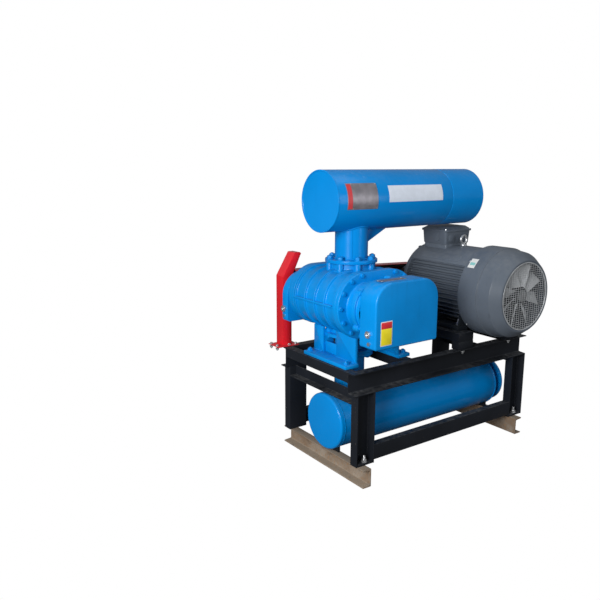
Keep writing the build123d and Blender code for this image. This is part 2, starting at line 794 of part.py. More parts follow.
def outlet_pipe():
    low = outlet_face - pipe_flange_thick
    end = discharge_height
    pipe = rod_z(outlet_pipe_radius, end, low + 2, blower_x, 0)
    pipe += pipe_flange(low, bore=outlet_pipe_radius - 5)
    pipe -= rod_z(outlet_pipe_radius - 5, end - 1, outlet_face + 1, blower_x, 0)
    pipe -= rod_x(discharge_radius + fit_gap, discharge_left - 10, discharge_right + 10, discharge_y, discharge_height)
    return pipe


def discharge_silencer():
    shell = rod_x(discharge_radius, discharge_left + 14, discharge_seam, discharge_y, discharge_height)
    cap = rod_x(discharge_radius + 2, discharge_left, discharge_left + 26, discharge_y, discharge_height)
    cap = fillet(cap.faces().sort_by(Axis.X)[0].edges(), 13.0)
    shell += cap
    inner = discharge_radius - discharge_wall
    shell -= rod_x(inner, discharge_left + 20, discharge_seam + 1, discharge_y, discharge_height)
    shell -= rod_z(outlet_pipe_radius - 5, discharge_height, discharge_height + discharge_radius + 5, blower_x, 0)
    return shell


def discharge_outlet():
    start = discharge_seam
    body = rod_x(discharge_radius + 3, start, start + 12, discharge_y, discharge_height)
    body += rod_x(discharge_radius - 22, start + 12, discharge_right - 20, discharge_y, discharge_height)
    body += rod_x(pipe_flange_radius, discharge_right - 20, discharge_right, discharge_y, discharge_height)
    body -= rod_x(port_bore, start - 1, discharge_right + 1, discharge_y, discharge_height)
    for dy, dz in port_spots():
        body -= rod_x(stud_radius + 1.0, discharge_right - 21, discharge_right + 1, discharge_y + dy, discharge_height + dz)
    return body


def silencer_saddles():
    pieces = []
    for x in (-629.0, 578.0):
        body = block(x - 6, x + 6, discharge_y - 95, discharge_y + 95, skid_height, skid_height + 70)
        body -= rod_x(discharge_radius + curved_gap, x - 10, x + 10, discharge_y, discharge_height)
        for piece in body.solids():
            pieces.append(piece)
    return group(pieces)


# ---- motor ----

def motor_foot(way):
    x = motor_x + way * motor_foot_spacing / 2
    low = shaft_centre_height - motor_foot_height
    pad = block(x - 42, x + 42, motor_foot_front - 34, motor_foot_front + motor_foot_pitch + 34, low, low + 26)
    for y in (motor_foot_front - 26, motor_foot_front + motor_foot_pitch + 18, motor_foot_front + motor_foot_pitch / 2):
        rib_low = x - way * 42
        pad += outline_y([(x + way * 24, low + 24), (x + way * 10, low + 120), (motor_x + way * 80, low + 150),
                          (motor_x + way * 60, low + 60), (rib_low, low + 24)], y, y + 12)
    return pad


def motor_fins():
    fins = []
    length = motor_back - motor_front
    for k in range(fin_count):
        z = shaft_centre_height + 146.0 - fin_pitch * k
        reach = sqrt(motor_body_radius ** 2 - (z - shaft_centre_height) ** 2)
        fins.append(block(motor_x - reach, motor_x + reach, motor_front + 14, motor_back - 4, z - fin_thick / 2, z + fin_thick / 2))
    return fins


def motor_housing():
    z = shaft_centre_height
    body = rod_y(motor_tube_radius, motor_front, motor_back, motor_x, z)
    body += rod_y(motor_body_radius, motor_back - 14, motor_back, motor_x, z)
    body += rod_y(motor_body_radius, motor_front, motor_front + 16, motor_x, z)
    fin_set = joined(motor_fins())
    body += fin_set
    # the plain shoulder under the terminal box follows the outer circle
    shoulder = rod_y(motor_body_radius, motor_front + 10, motor_back - 2, motor_x, z)
    shoulder &= block(motor_x - 190, motor_x + 190, motor_front, motor_back, z + 158, z + motor_body_radius + 1)
    body += shoulder
    body += block(box_x0 + 14, box_x1 - 14, box_y0 + 8, box_y1 - 8, z + 200, box_floor)
    body -= rod_y(motor_tube_bore, motor_front - 1, motor_back + 1, motor_x, z)
    body -= rod_z(8.0 + fit_gap, z + 200, z + motor_body_radius + 5, eye_spot[0], eye_spot[1])
    return body


def motor_feet():
    low = shaft_centre_height - motor_foot_height
    body_outline = rod_y(motor_tube_radius + fit_gap, motor_front - 1, motor_back + 1, motor_x, shaft_centre_height)
    rims = rod_y(motor_body_radius + fit_gap, motor_back - 14.1, motor_back + 1, motor_x, shaft_centre_height)
    rims += rod_y(motor_body_radius + fit_gap, motor_front - 1, motor_front + 16.1, motor_x, shaft_centre_height)
    pieces = []
    for way in (-1, 1):
        foot = motor_foot(way) - body_outline - rims
        for fin in motor_fins():
            foot -= fin
        x = motor_x + way * motor_foot_spacing / 2
        for y in (motor_foot_front, motor_foot_front + motor_foot_pitch):
            foot -= rod_z(9.5, low - 1, low + 27, x, y)
        pieces.append(foot.solids().sort_by(SortBy.VOLUME)[-1])
    return group(pieces)


box_x0, box_x1 = 227.0, 447.0
box_y0, box_y1 = -47.0, 150.0
box_floor = 1174.0
box_rim = 1249.0
eye_spot = (motor_x, -92.0)


def terminal_box():
    low = Plane((0, 0, box_floor)) * Pos((box_x0 + box_x1) / 2, (box_y0 + box_y1) / 2) * RectangleRounded(
        box_x1 - box_x0 - 16, box_y1 - box_y0 - 16, 14)
    high = Plane((0, 0, box_rim)) * Pos((box_x0 + box_x1) / 2, (box_y0 + box_y1) / 2) * RectangleRounded(
        box_x1 - box_x0, box_y1 - box_y0, 14)
    body = loft([low.face(), high.face()])
    body -= block(box_x0 + 14, box_x1 - 14, box_y0 + 14, box_y1 - 14, box_floor + 6, box_rim + 1)
    return body


def terminal_lid():
    middle = Pos((box_x0 + box_x1) / 2, (box_y0 + box_y1) / 2)
    rim = extrude(Plane((0, 0, box_rim)) * middle * RectangleRounded(box_x1 - box_x0 + 12, box_y1 - box_y0 + 12, 16), 12)
    low = Plane((0, 0, box_rim + 12)) * middle * RectangleRounded(box_x1 - box_x0 + 8, box_y1 - box_y0 + 8, 15)
    high = Plane((0, 0, box_rim + 30)) * middle * RectangleRounded(box_x1 - box_x0 - 34, box_y1 - box_y0 - 34, 12)
    lid = rim + loft([low.face(), high.face()])
    for dx in (-1, 1):
        for dy in (-1, 1):
            x = (box_x0 + box_x1) / 2 + dx * ((box_x1 - box_x0) / 2 - 8)
            y = (box_y0 + box_y1) / 2 + dy * ((box_y1 - box_y0) / 2 - 8)
            lid += rod_z(6.0, box_rim + 12, box_rim + 18, x, y)
    return lid


def lifting_eye():
    x, y = eye_spot
    base = shaft_centre_height + motor_body_radius
    ring = Pos(x, y, base + 37) * Rot(90, 0, 0) * Torus(24, 7.5)
    return ring + rod_z(20.0, base, base + 8, x, y) + rod_z(10.0, base + 8, base + 16, x, y) + rod_z(8.0, base - 30, base, x, y)


def end_shields():
    z = shaft_centre_height
    front = rod_y(motor_body_radius - 2, motor_front - 16, motor_front, motor_x, z)
    front += rod_y(100.0, motor_front - 24, motor_front + 30, motor_x, z)
    front -= rod_y(motor_shaft_radius + 2.5, motor_front - 30, motor_front + 40, motor_x, z)
    front -= rod_y(70.0 + fit_gap, motor_front - 2, motor_front + 28, motor_x, z)
    front -= rod_y(64.0, motor_front + 27, motor_front + 31, motor_x, z)
    back = rod_y(motor_body_radius - 8, motor_back, motor_back + 18, motor_x, z)
    cone = Plane((motor_x, motor_back + 18, z), x_dir=(1, 0, 0), z_dir=(0, 1, 0)) * Circle(220.0)
    tip = Plane((motor_x, motor_back + 62, z), x_dir=(1, 0, 0), z_dir=(0, 1, 0)) * Circle(184.0)
    back += loft([cone.face(), tip.face()])
    back += rod_y(112.0, motor_back + 60, motor_back + 74, motor_x, z)
    back -= rod_y(motor_shaft_radius + 2.5, motor_back - 1, motor_back + 90, motor_x, z)
    back -= rod_y(70.0 + fit_gap, motor_back + 20, motor_back + 50, motor_x, z)
    back -= rod_y(150.0, motor_back - 1, motor_back + 12, motor_x, z)
    back -= rod_y(64.0, motor_back, motor_back + 21, motor_x, z)
    return group([front, back])


def stator_core():
    z = shaft_centre_height
    core = rod_y(motor_tube_bore - fit_gap, -190.0, 90.0, motor_x, z) - rod_y(119.0, -191.0, 91.0, motor_x, z)
    coil = rod_y(160.0, -240.0, 140.0, motor_x, z) - rod_y(124.0, -241.0, 141.0, motor_x, z)
    coil -= rod_y(170.0, -190.0, 90.0, motor_x, z)
    return core + coil


def motor_rotor():
    z = shaft_centre_height
    body = rod_y(motor_shaft_radius, -532.0, belt_front + belt_width + 2, motor_x, z)
    body += rod_y(118.0, -188.0, 88.0, motor_x, z)
    return body


def cowl_profile(inset):
    return [(cowl_radius - inset, motor_front + 6.0), (cowl_radius - inset, cowl_step),
            (cowl_radius - 5.0 - inset, cowl_step - 4.0), (cowl_shoulder_radius - inset, cowl_shoulder),
            (cowl_front_radius - inset, cowl_front + inset)]


def fan_cowl():
    outside = cowl_profile(0.0)
    inside = cowl_profile(cowl_wall)
    lip = cowl_front_radius - 12.0
    points = outside + [(lip, cowl_front), (lip, cowl_front + cowl_wall)] + inside[::-1]
    face = make_face(Polyline(*points, close=True))
    shell = Pos(motor_x, 0, shaft_centre_height) * revolve(face, Axis.Y, 360)
    for angle in (45, 135, 225, 315):
        dx = cos(radians(angle))
        dz = sin(radians(angle))
        lug = Pos(motor_x + dx * 244.5, motor_front - 8.0, shaft_centre_height + dz * 244.5) * Rot(0, -angle, 0) * Box(22, 12, 24)
        lug -= rod_y(motor_body_radius - 2 + 0.2, motor_front - 30, motor_front + 10, motor_x, shaft_centre_height)
        shell += lug
    return shell


def cowl_grille():
    z = shaft_centre_height
    rim = cowl_front_radius - 12.0 - 0.2
    ring = rod_y(rim, cowl_front, cowl_front + 4, motor_x, z) - rod_y(rim - 9, cowl_front - 1, cowl_front + 5, motor_x, z)
    grille = ring
    count = 9
    pitch = 20.0
    for k in range(-count, count + 1):
        height = pitch * k
        reach = sqrt((rim - 4) ** 2 - height ** 2)
        grille += block(motor_x - reach, motor_x + reach, cowl_front + 0.5, cowl_front + 3.5, z + height - 1.5, z + height + 1.5)
    for x in (-110.0, 0.0, 110.0):
        reach = sqrt((rim - 4) ** 2 - x ** 2)
        grille += block(motor_x + x - 1.5, motor_x + x + 1.5, cowl_front + 1, cowl_front + 3, z - reach, z + reach)
    return grille


def cooling_fan():
    z = shaft_centre_height
    hub = rod_y(50.0, -530.0, -470.0, motor_x, z)
    hub += rod_y(120.0, -478.0, -470.0, motor_x, z)
    count = 8
    for k in range(count):
        blade = Pos(motor_x, 0, z) * Rot(0, 360.0 * k / count + 12, 0) * Pos(112, -502, 0) * Rot(24, 0, 0) * Box(140, 54, 4)
        hub += blade
    hub -= rod_y(motor_shaft_radius + fit_gap, -531.0, -460.0, motor_x, z)
    return hub


def motor_bolts():
    pieces = []
    low = shaft_centre_height - motor_foot_height
    for way in (-1, 1):
        x = motor_x + way * motor_foot_spacing / 2
        for y in (motor_foot_front, motor_foot_front + motor_foot_pitch):
            bolt = rod_z(8.0, low - 26, low + 26 + 36, x, y) + hex_z(24.0, low + 26, low + 39, x, y)
            bolt += hex_z(24.0, low - 22, low - 9, x, y)
            pieces.append(bolt)
    for angle in (45, 135, 225, 315):
        dx = cos(radians(angle))
        dz = sin(radians(angle))
        screw = Pos(motor_x + dx * (cowl_radius + 3), motor_front - 8.0, shaft_centre_height + dz * (cowl_radius + 3))
        pieces.append(screw * Rot(0, 90 - angle, 0) * Cylinder(7.0, 6.0))
    return group(pieces)


# ---- belt guard ----

guard_sheet = 3.0
guard_left = -690.0
guard_near = 325.0
guard_far = 400.0
guard_lip = 57.0
guard_shoulder = 1017.0
guard_top = 1150.0
guard_tip = -566.0
guard_low = 800.0
guard_foot_left = -745.0
guard_foot_back = 405.0
guard_motor_radius = 82.0
guard_post_x = 233.0
guard_foot_bolts = ((-736.0, 391.0), (-736.0, 327.0))


def guard_outline():
    foot = beam_top + guard_sheet
    points = [(guard_left, foot), (guard_left, guard_shoulder), (-609.0, guard_top), (guard_tip - 8, guard_top),
              (guard_tip, guard_top - 8), (guard_tip + 61, 1052.0)]
    for k in range(19):
        angle = radians(88 - 176 * k / 18)
        points.append((motor_x + guard_motor_radius * cos(angle), shaft_centre_height + guard_motor_radius * sin(angle)))
    points += [(-500.0, guard_low), (guard_left + guard_lip, guard_low), (guard_left + guard_lip, foot)]
    return points


def guard_cover():
    outer = make_face(Polyline(*guard_outline(), close=True))
    inner = offset(outer, amount=-guard_sheet, kind=Kind.INTERSECTION)
    body = extrude(side_plane(guard_far) * outer, guard_far - guard_near)
    body -= extrude(side_plane(guard_far - guard_sheet) * inner, guard_far - guard_near)
    inner_edge = guard_left + guard_lip
    foot = beam_top + guard_sheet
    lip = [(guard_left, foot), (guard_left, guard_shoulder), (-609.0, guard_top), (guard_tip - 8, guard_top),
           (guard_tip, guard_top - 8), (guard_tip - 5, guard_top - 16), (inner_edge, guard_shoulder - 9), (inner_edge, foot)]
    body += outline_y(lip, guard_near, guard_near + guard_sheet)
    body += block(guard_foot_left, inner_edge + 34, guard_near - 32, guard_foot_back, beam_top, foot)
    for x, y in guard_foot_bolts:
        body -= rod_z(5.0, beam_top - 1, foot + 1, x, y)
    for x, inset in guard_bolt_spots()[:2]:
        body -= rod_z(5.0, beam_top - 1, foot + 1, x, half_width - inset)
    return body


def guard_post():
    foot = beam_top + guard_sheet
    half = guard_lip / 2
    post = block(guard_post_x - half, guard_post_x + half, 340.0, guard_far, foot, 880.0)
    post -= block(guard_post_x - half + guard_sheet, guard_post_x + half - guard_sheet, 339.0, guard_far - guard_sheet,
                  foot - 1, 881.0)
    post -= outline_y(guard_outline(), guard_near - 1, guard_far + 1)
    post += block(guard_post_x - half - 8, guard_post_x + half + 8, guard_near - 32, guard_far, beam_top, foot)
    for x, inset in guard_bolt_spots()[2:]:
        post -= rod_z(5.0, beam_top - 1, foot + 1, x, half_width - inset)
    return post


blower_half_step = pi / gear_teeth

nodes = {
    "skids": skids,
    "leg_front_left": lambda: leg(-leg_x, -1),
    "leg_front_right": lambda: leg(leg_x, -1),
    "leg_back_left": lambda: leg(-leg_x, 1),
    "leg_back_right": lambda: leg(leg_x, 1),
    "anchor_bolts": lambda: group([anchor_bolt(x, s) for x in (-leg_x, leg_x) for s in (-1, 1)]),
    "front_beam": lambda: drilled_beam(-1),
    "back_beam": lambda: drilled_beam(1),
    "end_channels": end_channels,
    "mid_channel": mid_channel,
    "low_ties": low_ties,
    "front_side_rail": lambda: side_rail(-1),
    "back_side_rail": lambda: side_rail(1),
    "slide_blocks": slide_blocks,
    "left_motor_slide": lambda: motor_slide(slide_x[0]),
    "right_motor_slide": lambda: motor_slide(slide_x[1]),
    "frame_bolts": frame_bolts,
    "rotor_casing": rotor_casing,
    "gear_end_plate": gear_end_plate,
    "gear_cover": gear_cover,
    "drive_end_plate": drive_end_plate,
    "drive_end_cover": drive_end_cover,
    "seal_cap": seal_cap,
    "shaft_bearings": shaft_bearings,
    "drive_rotor": lambda: lobe_rotor(drive_x, 0.0, -432.0, belt_front + belt_width + 1.5),
    "driven_rotor": lambda: lobe_rotor(driven_x, 0.0, -432.0, rear_box_front + 40.0),
    "drive_gear": lambda: timing_gear(drive_x, 0.0),
    "driven_gear": lambda: timing_gear(driven_x, blower_half_step),
    "blower_pulley": lambda: belt_pulley(drive_x, blower_pulley_radius, shaft_radius + fit_gap),
    "motor_pulley": lambda: belt_pulley(motor_x, motor_pulley_radius, motor_shaft_radius + fit_gap),
    "drive_belts": drive_belts,
    "left_blower_foot": lambda: blower_foot(-1),
    "right_blower_foot": lambda: blower_foot(1),
    "plate_bolts": plate_bolts,
    "sight_glasses": sight_glasses,
    "drain_plugs": drain_plugs,
    "breather": breather,
    "inlet_neck": inlet_neck,
    "inlet_silencer": inlet_silencer,
    "filter_head": filter_head,
    "port_bolts": port_bolts,
    "outlet_pipe": outlet_pipe,
    "discharge_silencer": discharge_silencer,
    "discharge_outlet": discharge_outlet,
    "silencer_saddles": silencer_saddles,
    "motor_housing": motor_housing,
    "motor_feet": motor_feet,
    "end_shields": end_shields,
    "stator_core": stator_core,
    "motor_rotor": motor_rotor,
    "terminal_box": terminal_box,
    "terminal_lid": terminal_lid,
    "lifting_eye": lifting_eye,
    "fan_cowl": fan_cowl,
    "cowl_grille": cowl_grille,
    "cooling_fan": cooling_fan,
    "motor_bolts": motor_bolts,
    "guard_cover": guard_cover,
    "guard_post": guard_post,
}

for node_name, maker in nodes.items():
    save(maker(), node_name)
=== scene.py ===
import json
from math import cos, sin, pi, radians, hypot, atan2
import bmesh
import bpy
import numpy as np
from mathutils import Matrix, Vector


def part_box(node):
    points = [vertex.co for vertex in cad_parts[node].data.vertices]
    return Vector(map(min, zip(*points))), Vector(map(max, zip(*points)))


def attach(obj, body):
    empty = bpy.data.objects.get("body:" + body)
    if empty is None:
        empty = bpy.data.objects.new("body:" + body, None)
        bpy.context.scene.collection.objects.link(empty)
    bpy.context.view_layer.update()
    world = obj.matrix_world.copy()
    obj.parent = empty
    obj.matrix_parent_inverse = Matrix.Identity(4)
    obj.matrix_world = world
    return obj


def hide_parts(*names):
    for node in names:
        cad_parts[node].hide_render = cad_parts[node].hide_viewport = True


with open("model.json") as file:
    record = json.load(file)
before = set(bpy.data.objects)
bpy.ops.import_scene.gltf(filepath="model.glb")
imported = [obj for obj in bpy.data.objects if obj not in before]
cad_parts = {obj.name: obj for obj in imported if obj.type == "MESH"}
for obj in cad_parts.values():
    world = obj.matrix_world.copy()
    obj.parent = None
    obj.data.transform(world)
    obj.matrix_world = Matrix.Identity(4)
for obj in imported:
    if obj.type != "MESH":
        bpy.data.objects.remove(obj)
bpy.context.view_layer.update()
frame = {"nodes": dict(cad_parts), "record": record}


def nodeBox(name):
    # lowest and highest corner of a CAD node
    low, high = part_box(name)
    return np.array(low, float), np.array(high, float)


def nodeMiddle(name):
    # halfway between a node's two corners
    low, high = nodeBox(name)
    return (low + high) / 2


view = {"place": (-2.6640, -2.6564, 1.6413), "yaw": 0.6076, "pitch": 0.205, "roll": -0.0009, "lens": 38.95}
light = {"keyPower": 238.0, "topPower": 22.0, "fillPower": 27.0, "sky": 0.24, "floor": 0.16, "floorSeen": 1.0}


def makeCamera():
    data = bpy.data.cameras.new("camera")
    data.lens = view["lens"]
    data.sensor_width = 36.0
    data.clip_end = 60.0
    camera = bpy.data.objects.new("camera", data)
    camera.location = view["place"]
    camera.rotation_euler = (pi / 2 - view["pitch"], view["roll"], -view["yaw"])
    bpy.context.scene.collection.objects.link(camera)
    bpy.context.scene.camera = camera


def areaLight(name, place, target, size, power, colour=(1, 1, 1)):
    # a round lamp turned to face its target
    data = bpy.data.lights.new(name, "AREA")
    data.shape = "DISK"
    data.size = size
    data.energy = power
    data.color = colour
    lamp = bpy.data.objects.new(name, data)
    lamp.location = place
    way = np.array(target, float) - np.array(place, float)
    lamp.rotation_euler = (atan2(hypot(way[0], way[1]), -way[2]), 0, atan2(way[1], way[0]) - pi / 2)
    bpy.context.scene.collection.objects.link(lamp)


makeCamera()
areaLight("keyLight", (-4.4, -2.0, 2.2), (0, 0, 0.9), 2.2, light["keyPower"])
areaLight("topLight", (0.1, -0.5, 4.4), (0, 0, 0.5), 2.6, light["topPower"])
areaLight("fillLight", (1.6, -4.4, 2.0), (0.2, 0, 0.8), 2.4, light["fillPower"])
scene = bpy.context.scene
scene.view_settings.view_transform = "Standard"


class Value:
    def __init__(self, graph, socket):
        self.graph = graph
        self.socket = socket

    def maths(self, operation, *others, clamp=False):
        node = self.graph.make("ShaderNodeMath", operation=operation, use_clamp=clamp)
        for k, item in enumerate((self,) + others):
            self.graph.feed(node.inputs[k], item)
        return Value(self.graph, node.outputs[0])

    def __add__(self, other):
        return self.maths("ADD", other)

    def __sub__(self, other):
        return self.maths("SUBTRACT", other)

    def __mul__(self, other):
        return self.maths("MULTIPLY", other)

    def lowest(self, other):
        return self.maths("MINIMUM", other)

    def ramp(self, low, high, outLow=0.0, outHigh=1.0):
        # smooth step from low to high
        node = self.graph.make("ShaderNodeMapRange", interpolation_type="SMOOTHSTEP")
        for k, item in enumerate((self, low, high, outLow, outHigh)):
            self.graph.feed(node.inputs[k], item)
        return Value(self.graph, node.outputs[0])


class Graph:
    def __init__(self, name, colour=(0.5, 0.5, 0.5), roughness=0.5, metallic=0.0):
        self.material = bpy.data.materials.new(name)
        self.material.use_nodes = True
        self.tree = self.material.node_tree
        self.tree.nodes.clear()
        self.shader = self.make("ShaderNodeBsdfPrincipled")
        self.output = self.make("ShaderNodeOutputMaterial")
        self.tree.links.new(self.shader.outputs[0], self.output.inputs[0])
        self.put("Base Color", (*colour, 1.0))
        self.put("Roughness", roughness)
        self.put("Metallic", metallic)
        coordinates = self.make("ShaderNodeTexCoord")
        self.place = Value(self, coordinates.outputs["Object"])
        normal = self.make("ShaderNodeNewGeometry")
        self.normal = Value(self, normal.outputs["Normal"])

    def make(self, kind, **settings):
        node = self.tree.nodes.new(kind)
        for key, item in settings.items():
            setattr(node, key, item)
        return node

    def feed(self, socket, item):
        if isinstance(item, Value):
            self.tree.links.new(item.socket, socket)
        else:
            socket.default_value = item

    def put(self, name, item):
        self.feed(self.shader.inputs[name], item)

    def stretched(self, scale):
        node = self.make("ShaderNodeMapping")
        self.feed(node.inputs["Vector"], self.place)
        node.inputs["Scale"].default_value = scale
        return Value(self, node.outputs[0])

    def noise(self, scale, detail=3.0, rough=0.55, where=None, distortion=0.0):
        node = self.make("ShaderNodeTexNoise")
        self.feed(node.inputs["Vector"], where or self.place)
        node.inputs["Scale"].default_value = scale
        node.inputs["Detail"].default_value = detail
        node.inputs["Roughness"].default_value = rough
        node.inputs["Distortion"].default_value = distortion
        return Value(self, node.outputs["Fac"])

    def cells(self, scale, where=None, feature="F1"):
        node = self.make("ShaderNodeTexVoronoi", feature=feature)
        self.feed(node.inputs["Vector"], where or self.place)
        node.inputs["Scale"].default_value = scale
        return Value(self, node.outputs["Distance"])

    def part(self, vector, axis):
        node = self.make("ShaderNodeSeparateXYZ")
        self.feed(node.inputs[0], vector)
        return Value(self, node.outputs["XYZ".index(axis)])

    def mix(self, share, first, second):
        node = self.make("ShaderNodeMix", data_type="RGBA")
        self.feed(node.inputs["Factor"], share)
        for socket, item in ((node.inputs[6], first), (node.inputs[7], second)):
            self.feed(socket, item if isinstance(item, Value) else (*item, 1.0))
        return Value(self, node.outputs[2])

    def bump(self, height, strength, distance):
        node = self.make("ShaderNodeBump")
        self.feed(node.inputs["Height"], height)
        node.inputs["Strength"].default_value = strength
        node.inputs["Distance"].default_value = distance
        self.put("Normal", Value(self, node.outputs[0]))


def shade(colour, factor):
    return tuple(min(1.0, c * factor) for c in colour)


def paint(name, colour, roughness=0.32, coat=0.3, dustAndTopLight=0.25, dustAndTopLightColour=(0.34, 0.33, 0.31), peel=0.12,
          chips=0.5, chipColour=(0.05, 0.05, 0.05), runs=0.35, spread=0.10):
    g = Graph(name, colour, roughness)
    cloud = g.noise(2.6, 4.0)
    grain = g.noise(38.0, 5.0, 0.62)
    up = g.part(g.normal, "Z").ramp(0.25, 0.95)
    streak = g.noise(1.0, 4.0, 0.6, where=g.stretched((46.0, 46.0, 3.0)))
    tone = g.mix(cloud.ramp(0.3, 0.7), shade(colour, 1.0 - spread), shade(colour, 1.0 + spread))
    side = (up * -1.0 + 1.0) * streak.ramp(0.56, 0.78) * runs
    tone = g.mix(side, tone, shade(colour, 0.55))
    # upward faces are mixed in patches towards a top colour: real dust where a call gives dust grey, a painted
    # top highlight where it gives a paler tint of the paint itself
    dustAndTopLightShare = (up * grain.ramp(0.30, 0.72) * cloud.ramp(0.25, 0.62) * dustAndTopLight).lowest(1.0)
    tone = g.mix(dustAndTopLightShare, tone, dustAndTopLightColour)
    speck = g.noise(130.0, 2.0, 0.5).ramp(0.69, 0.73) * g.noise(7.0, 3.0).ramp(0.52, 0.66) * chips
    tone = g.mix(speck, tone, chipColour)
    g.put("Base Color", tone)
    g.put("Roughness", grain * 0.14 + (roughness - 0.07) + dustAndTopLightShare * 0.5 + speck * 0.3)
    g.put("Coat Weight", coat)
    g.put("Coat Roughness", 0.12)
    g.put("Specular IOR Level", 0.16)
    g.bump(g.noise(330.0, 2.0, 0.5) * 0.6 + grain * 0.4 - speck * 0.5, peel, 0.0011)
    return g.material


def rust(name):
    base = (0.20, 0.135, 0.085)
    g = Graph(name, base, 0.8)
    cloud = g.noise(5.0, 6.0, 0.65, distortion=0.4)
    grain = g.noise(70.0, 6.0, 0.7)
    flake = g.cells(55.0)
    tone = g.mix(cloud.ramp(0.32, 0.62), (0.33, 0.28, 0.225), (0.22, 0.155, 0.105))
    tone = g.mix(grain.ramp(0.48, 0.70) * 0.7, tone, (0.30, 0.155, 0.06))
    tone = g.mix(g.noise(13.0, 5.0).ramp(0.58, 0.74) * 0.75, tone, (0.055, 0.042, 0.036))
    # upward faces are lightened in patches towards a pale grey-brown: partly dust, partly a painted top light
    up = g.part(g.normal, "Z").ramp(0.3, 0.95)
    tone = g.mix(up * cloud.ramp(0.25, 0.7) * 0.6, tone, (0.36, 0.32, 0.26))
    g.put("Base Color", tone)
    g.put("Roughness", grain * 0.3 + 0.62)
    g.put("Metallic", 0.15)
    g.bump(grain * 0.7 + flake * 0.3, 0.5, 0.0018)
    return g.material


def metal(name, colour, roughness=0.34, stain=(0.30, 0.25, 0.18), stains=0.35, metallic=0.9, turned=None):
    g = Graph(name, colour, roughness, metallic)
    cloud = g.noise(24.0, 4.0)
    grain = g.noise(420.0, 3.0, 0.6, where=g.stretched(turned) if turned else None)
    tone = g.mix(cloud.ramp(0.3, 0.7), shade(colour, 0.82), shade(colour, 1.1))
    old = g.noise(52.0, 5.0, 0.65).ramp(0.56, 0.74) * stains
    tone = g.mix(old, tone, stain)
    g.put("Base Color", tone)
    g.put("Roughness", grain * 0.18 + (roughness - 0.09) + old * 0.35)
    g.bump(grain, 0.12, 0.0006)
    return g.material


def rubber(name, colour=(0.018, 0.018, 0.019)):
    g = Graph(name, colour, 0.62)
    grain = g.noise(260.0, 3.0)
    wear = g.noise(11.0, 4.0).ramp(0.5, 0.8)
    g.put("Base Color", g.mix(wear * 0.5, colour, (0.07, 0.068, 0.065)))
    g.put("Roughness", grain * 0.2 + 0.52)
    g.bump(grain, 0.3, 0.0006)
    return g.material


def printed(name, colour, roughness=0.35):
    g = Graph(name, colour, roughness)
    cloud = g.noise(30.0, 4.0)
    scuff = g.noise(1.0, 4.0, 0.6, where=g.stretched((300.0, 300.0, 40.0))).ramp(0.62, 0.78)
    tone = g.mix(cloud.ramp(0.3, 0.7), shade(colour, 0.93), colour)
    g.put("Base Color", g.mix(scuff * 0.3, tone, shade(colour, 0.7)))
    g.put("Roughness", scuff * 0.25 + roughness)
    g.bump(cloud, 0.08, 0.0004)
    return g.material


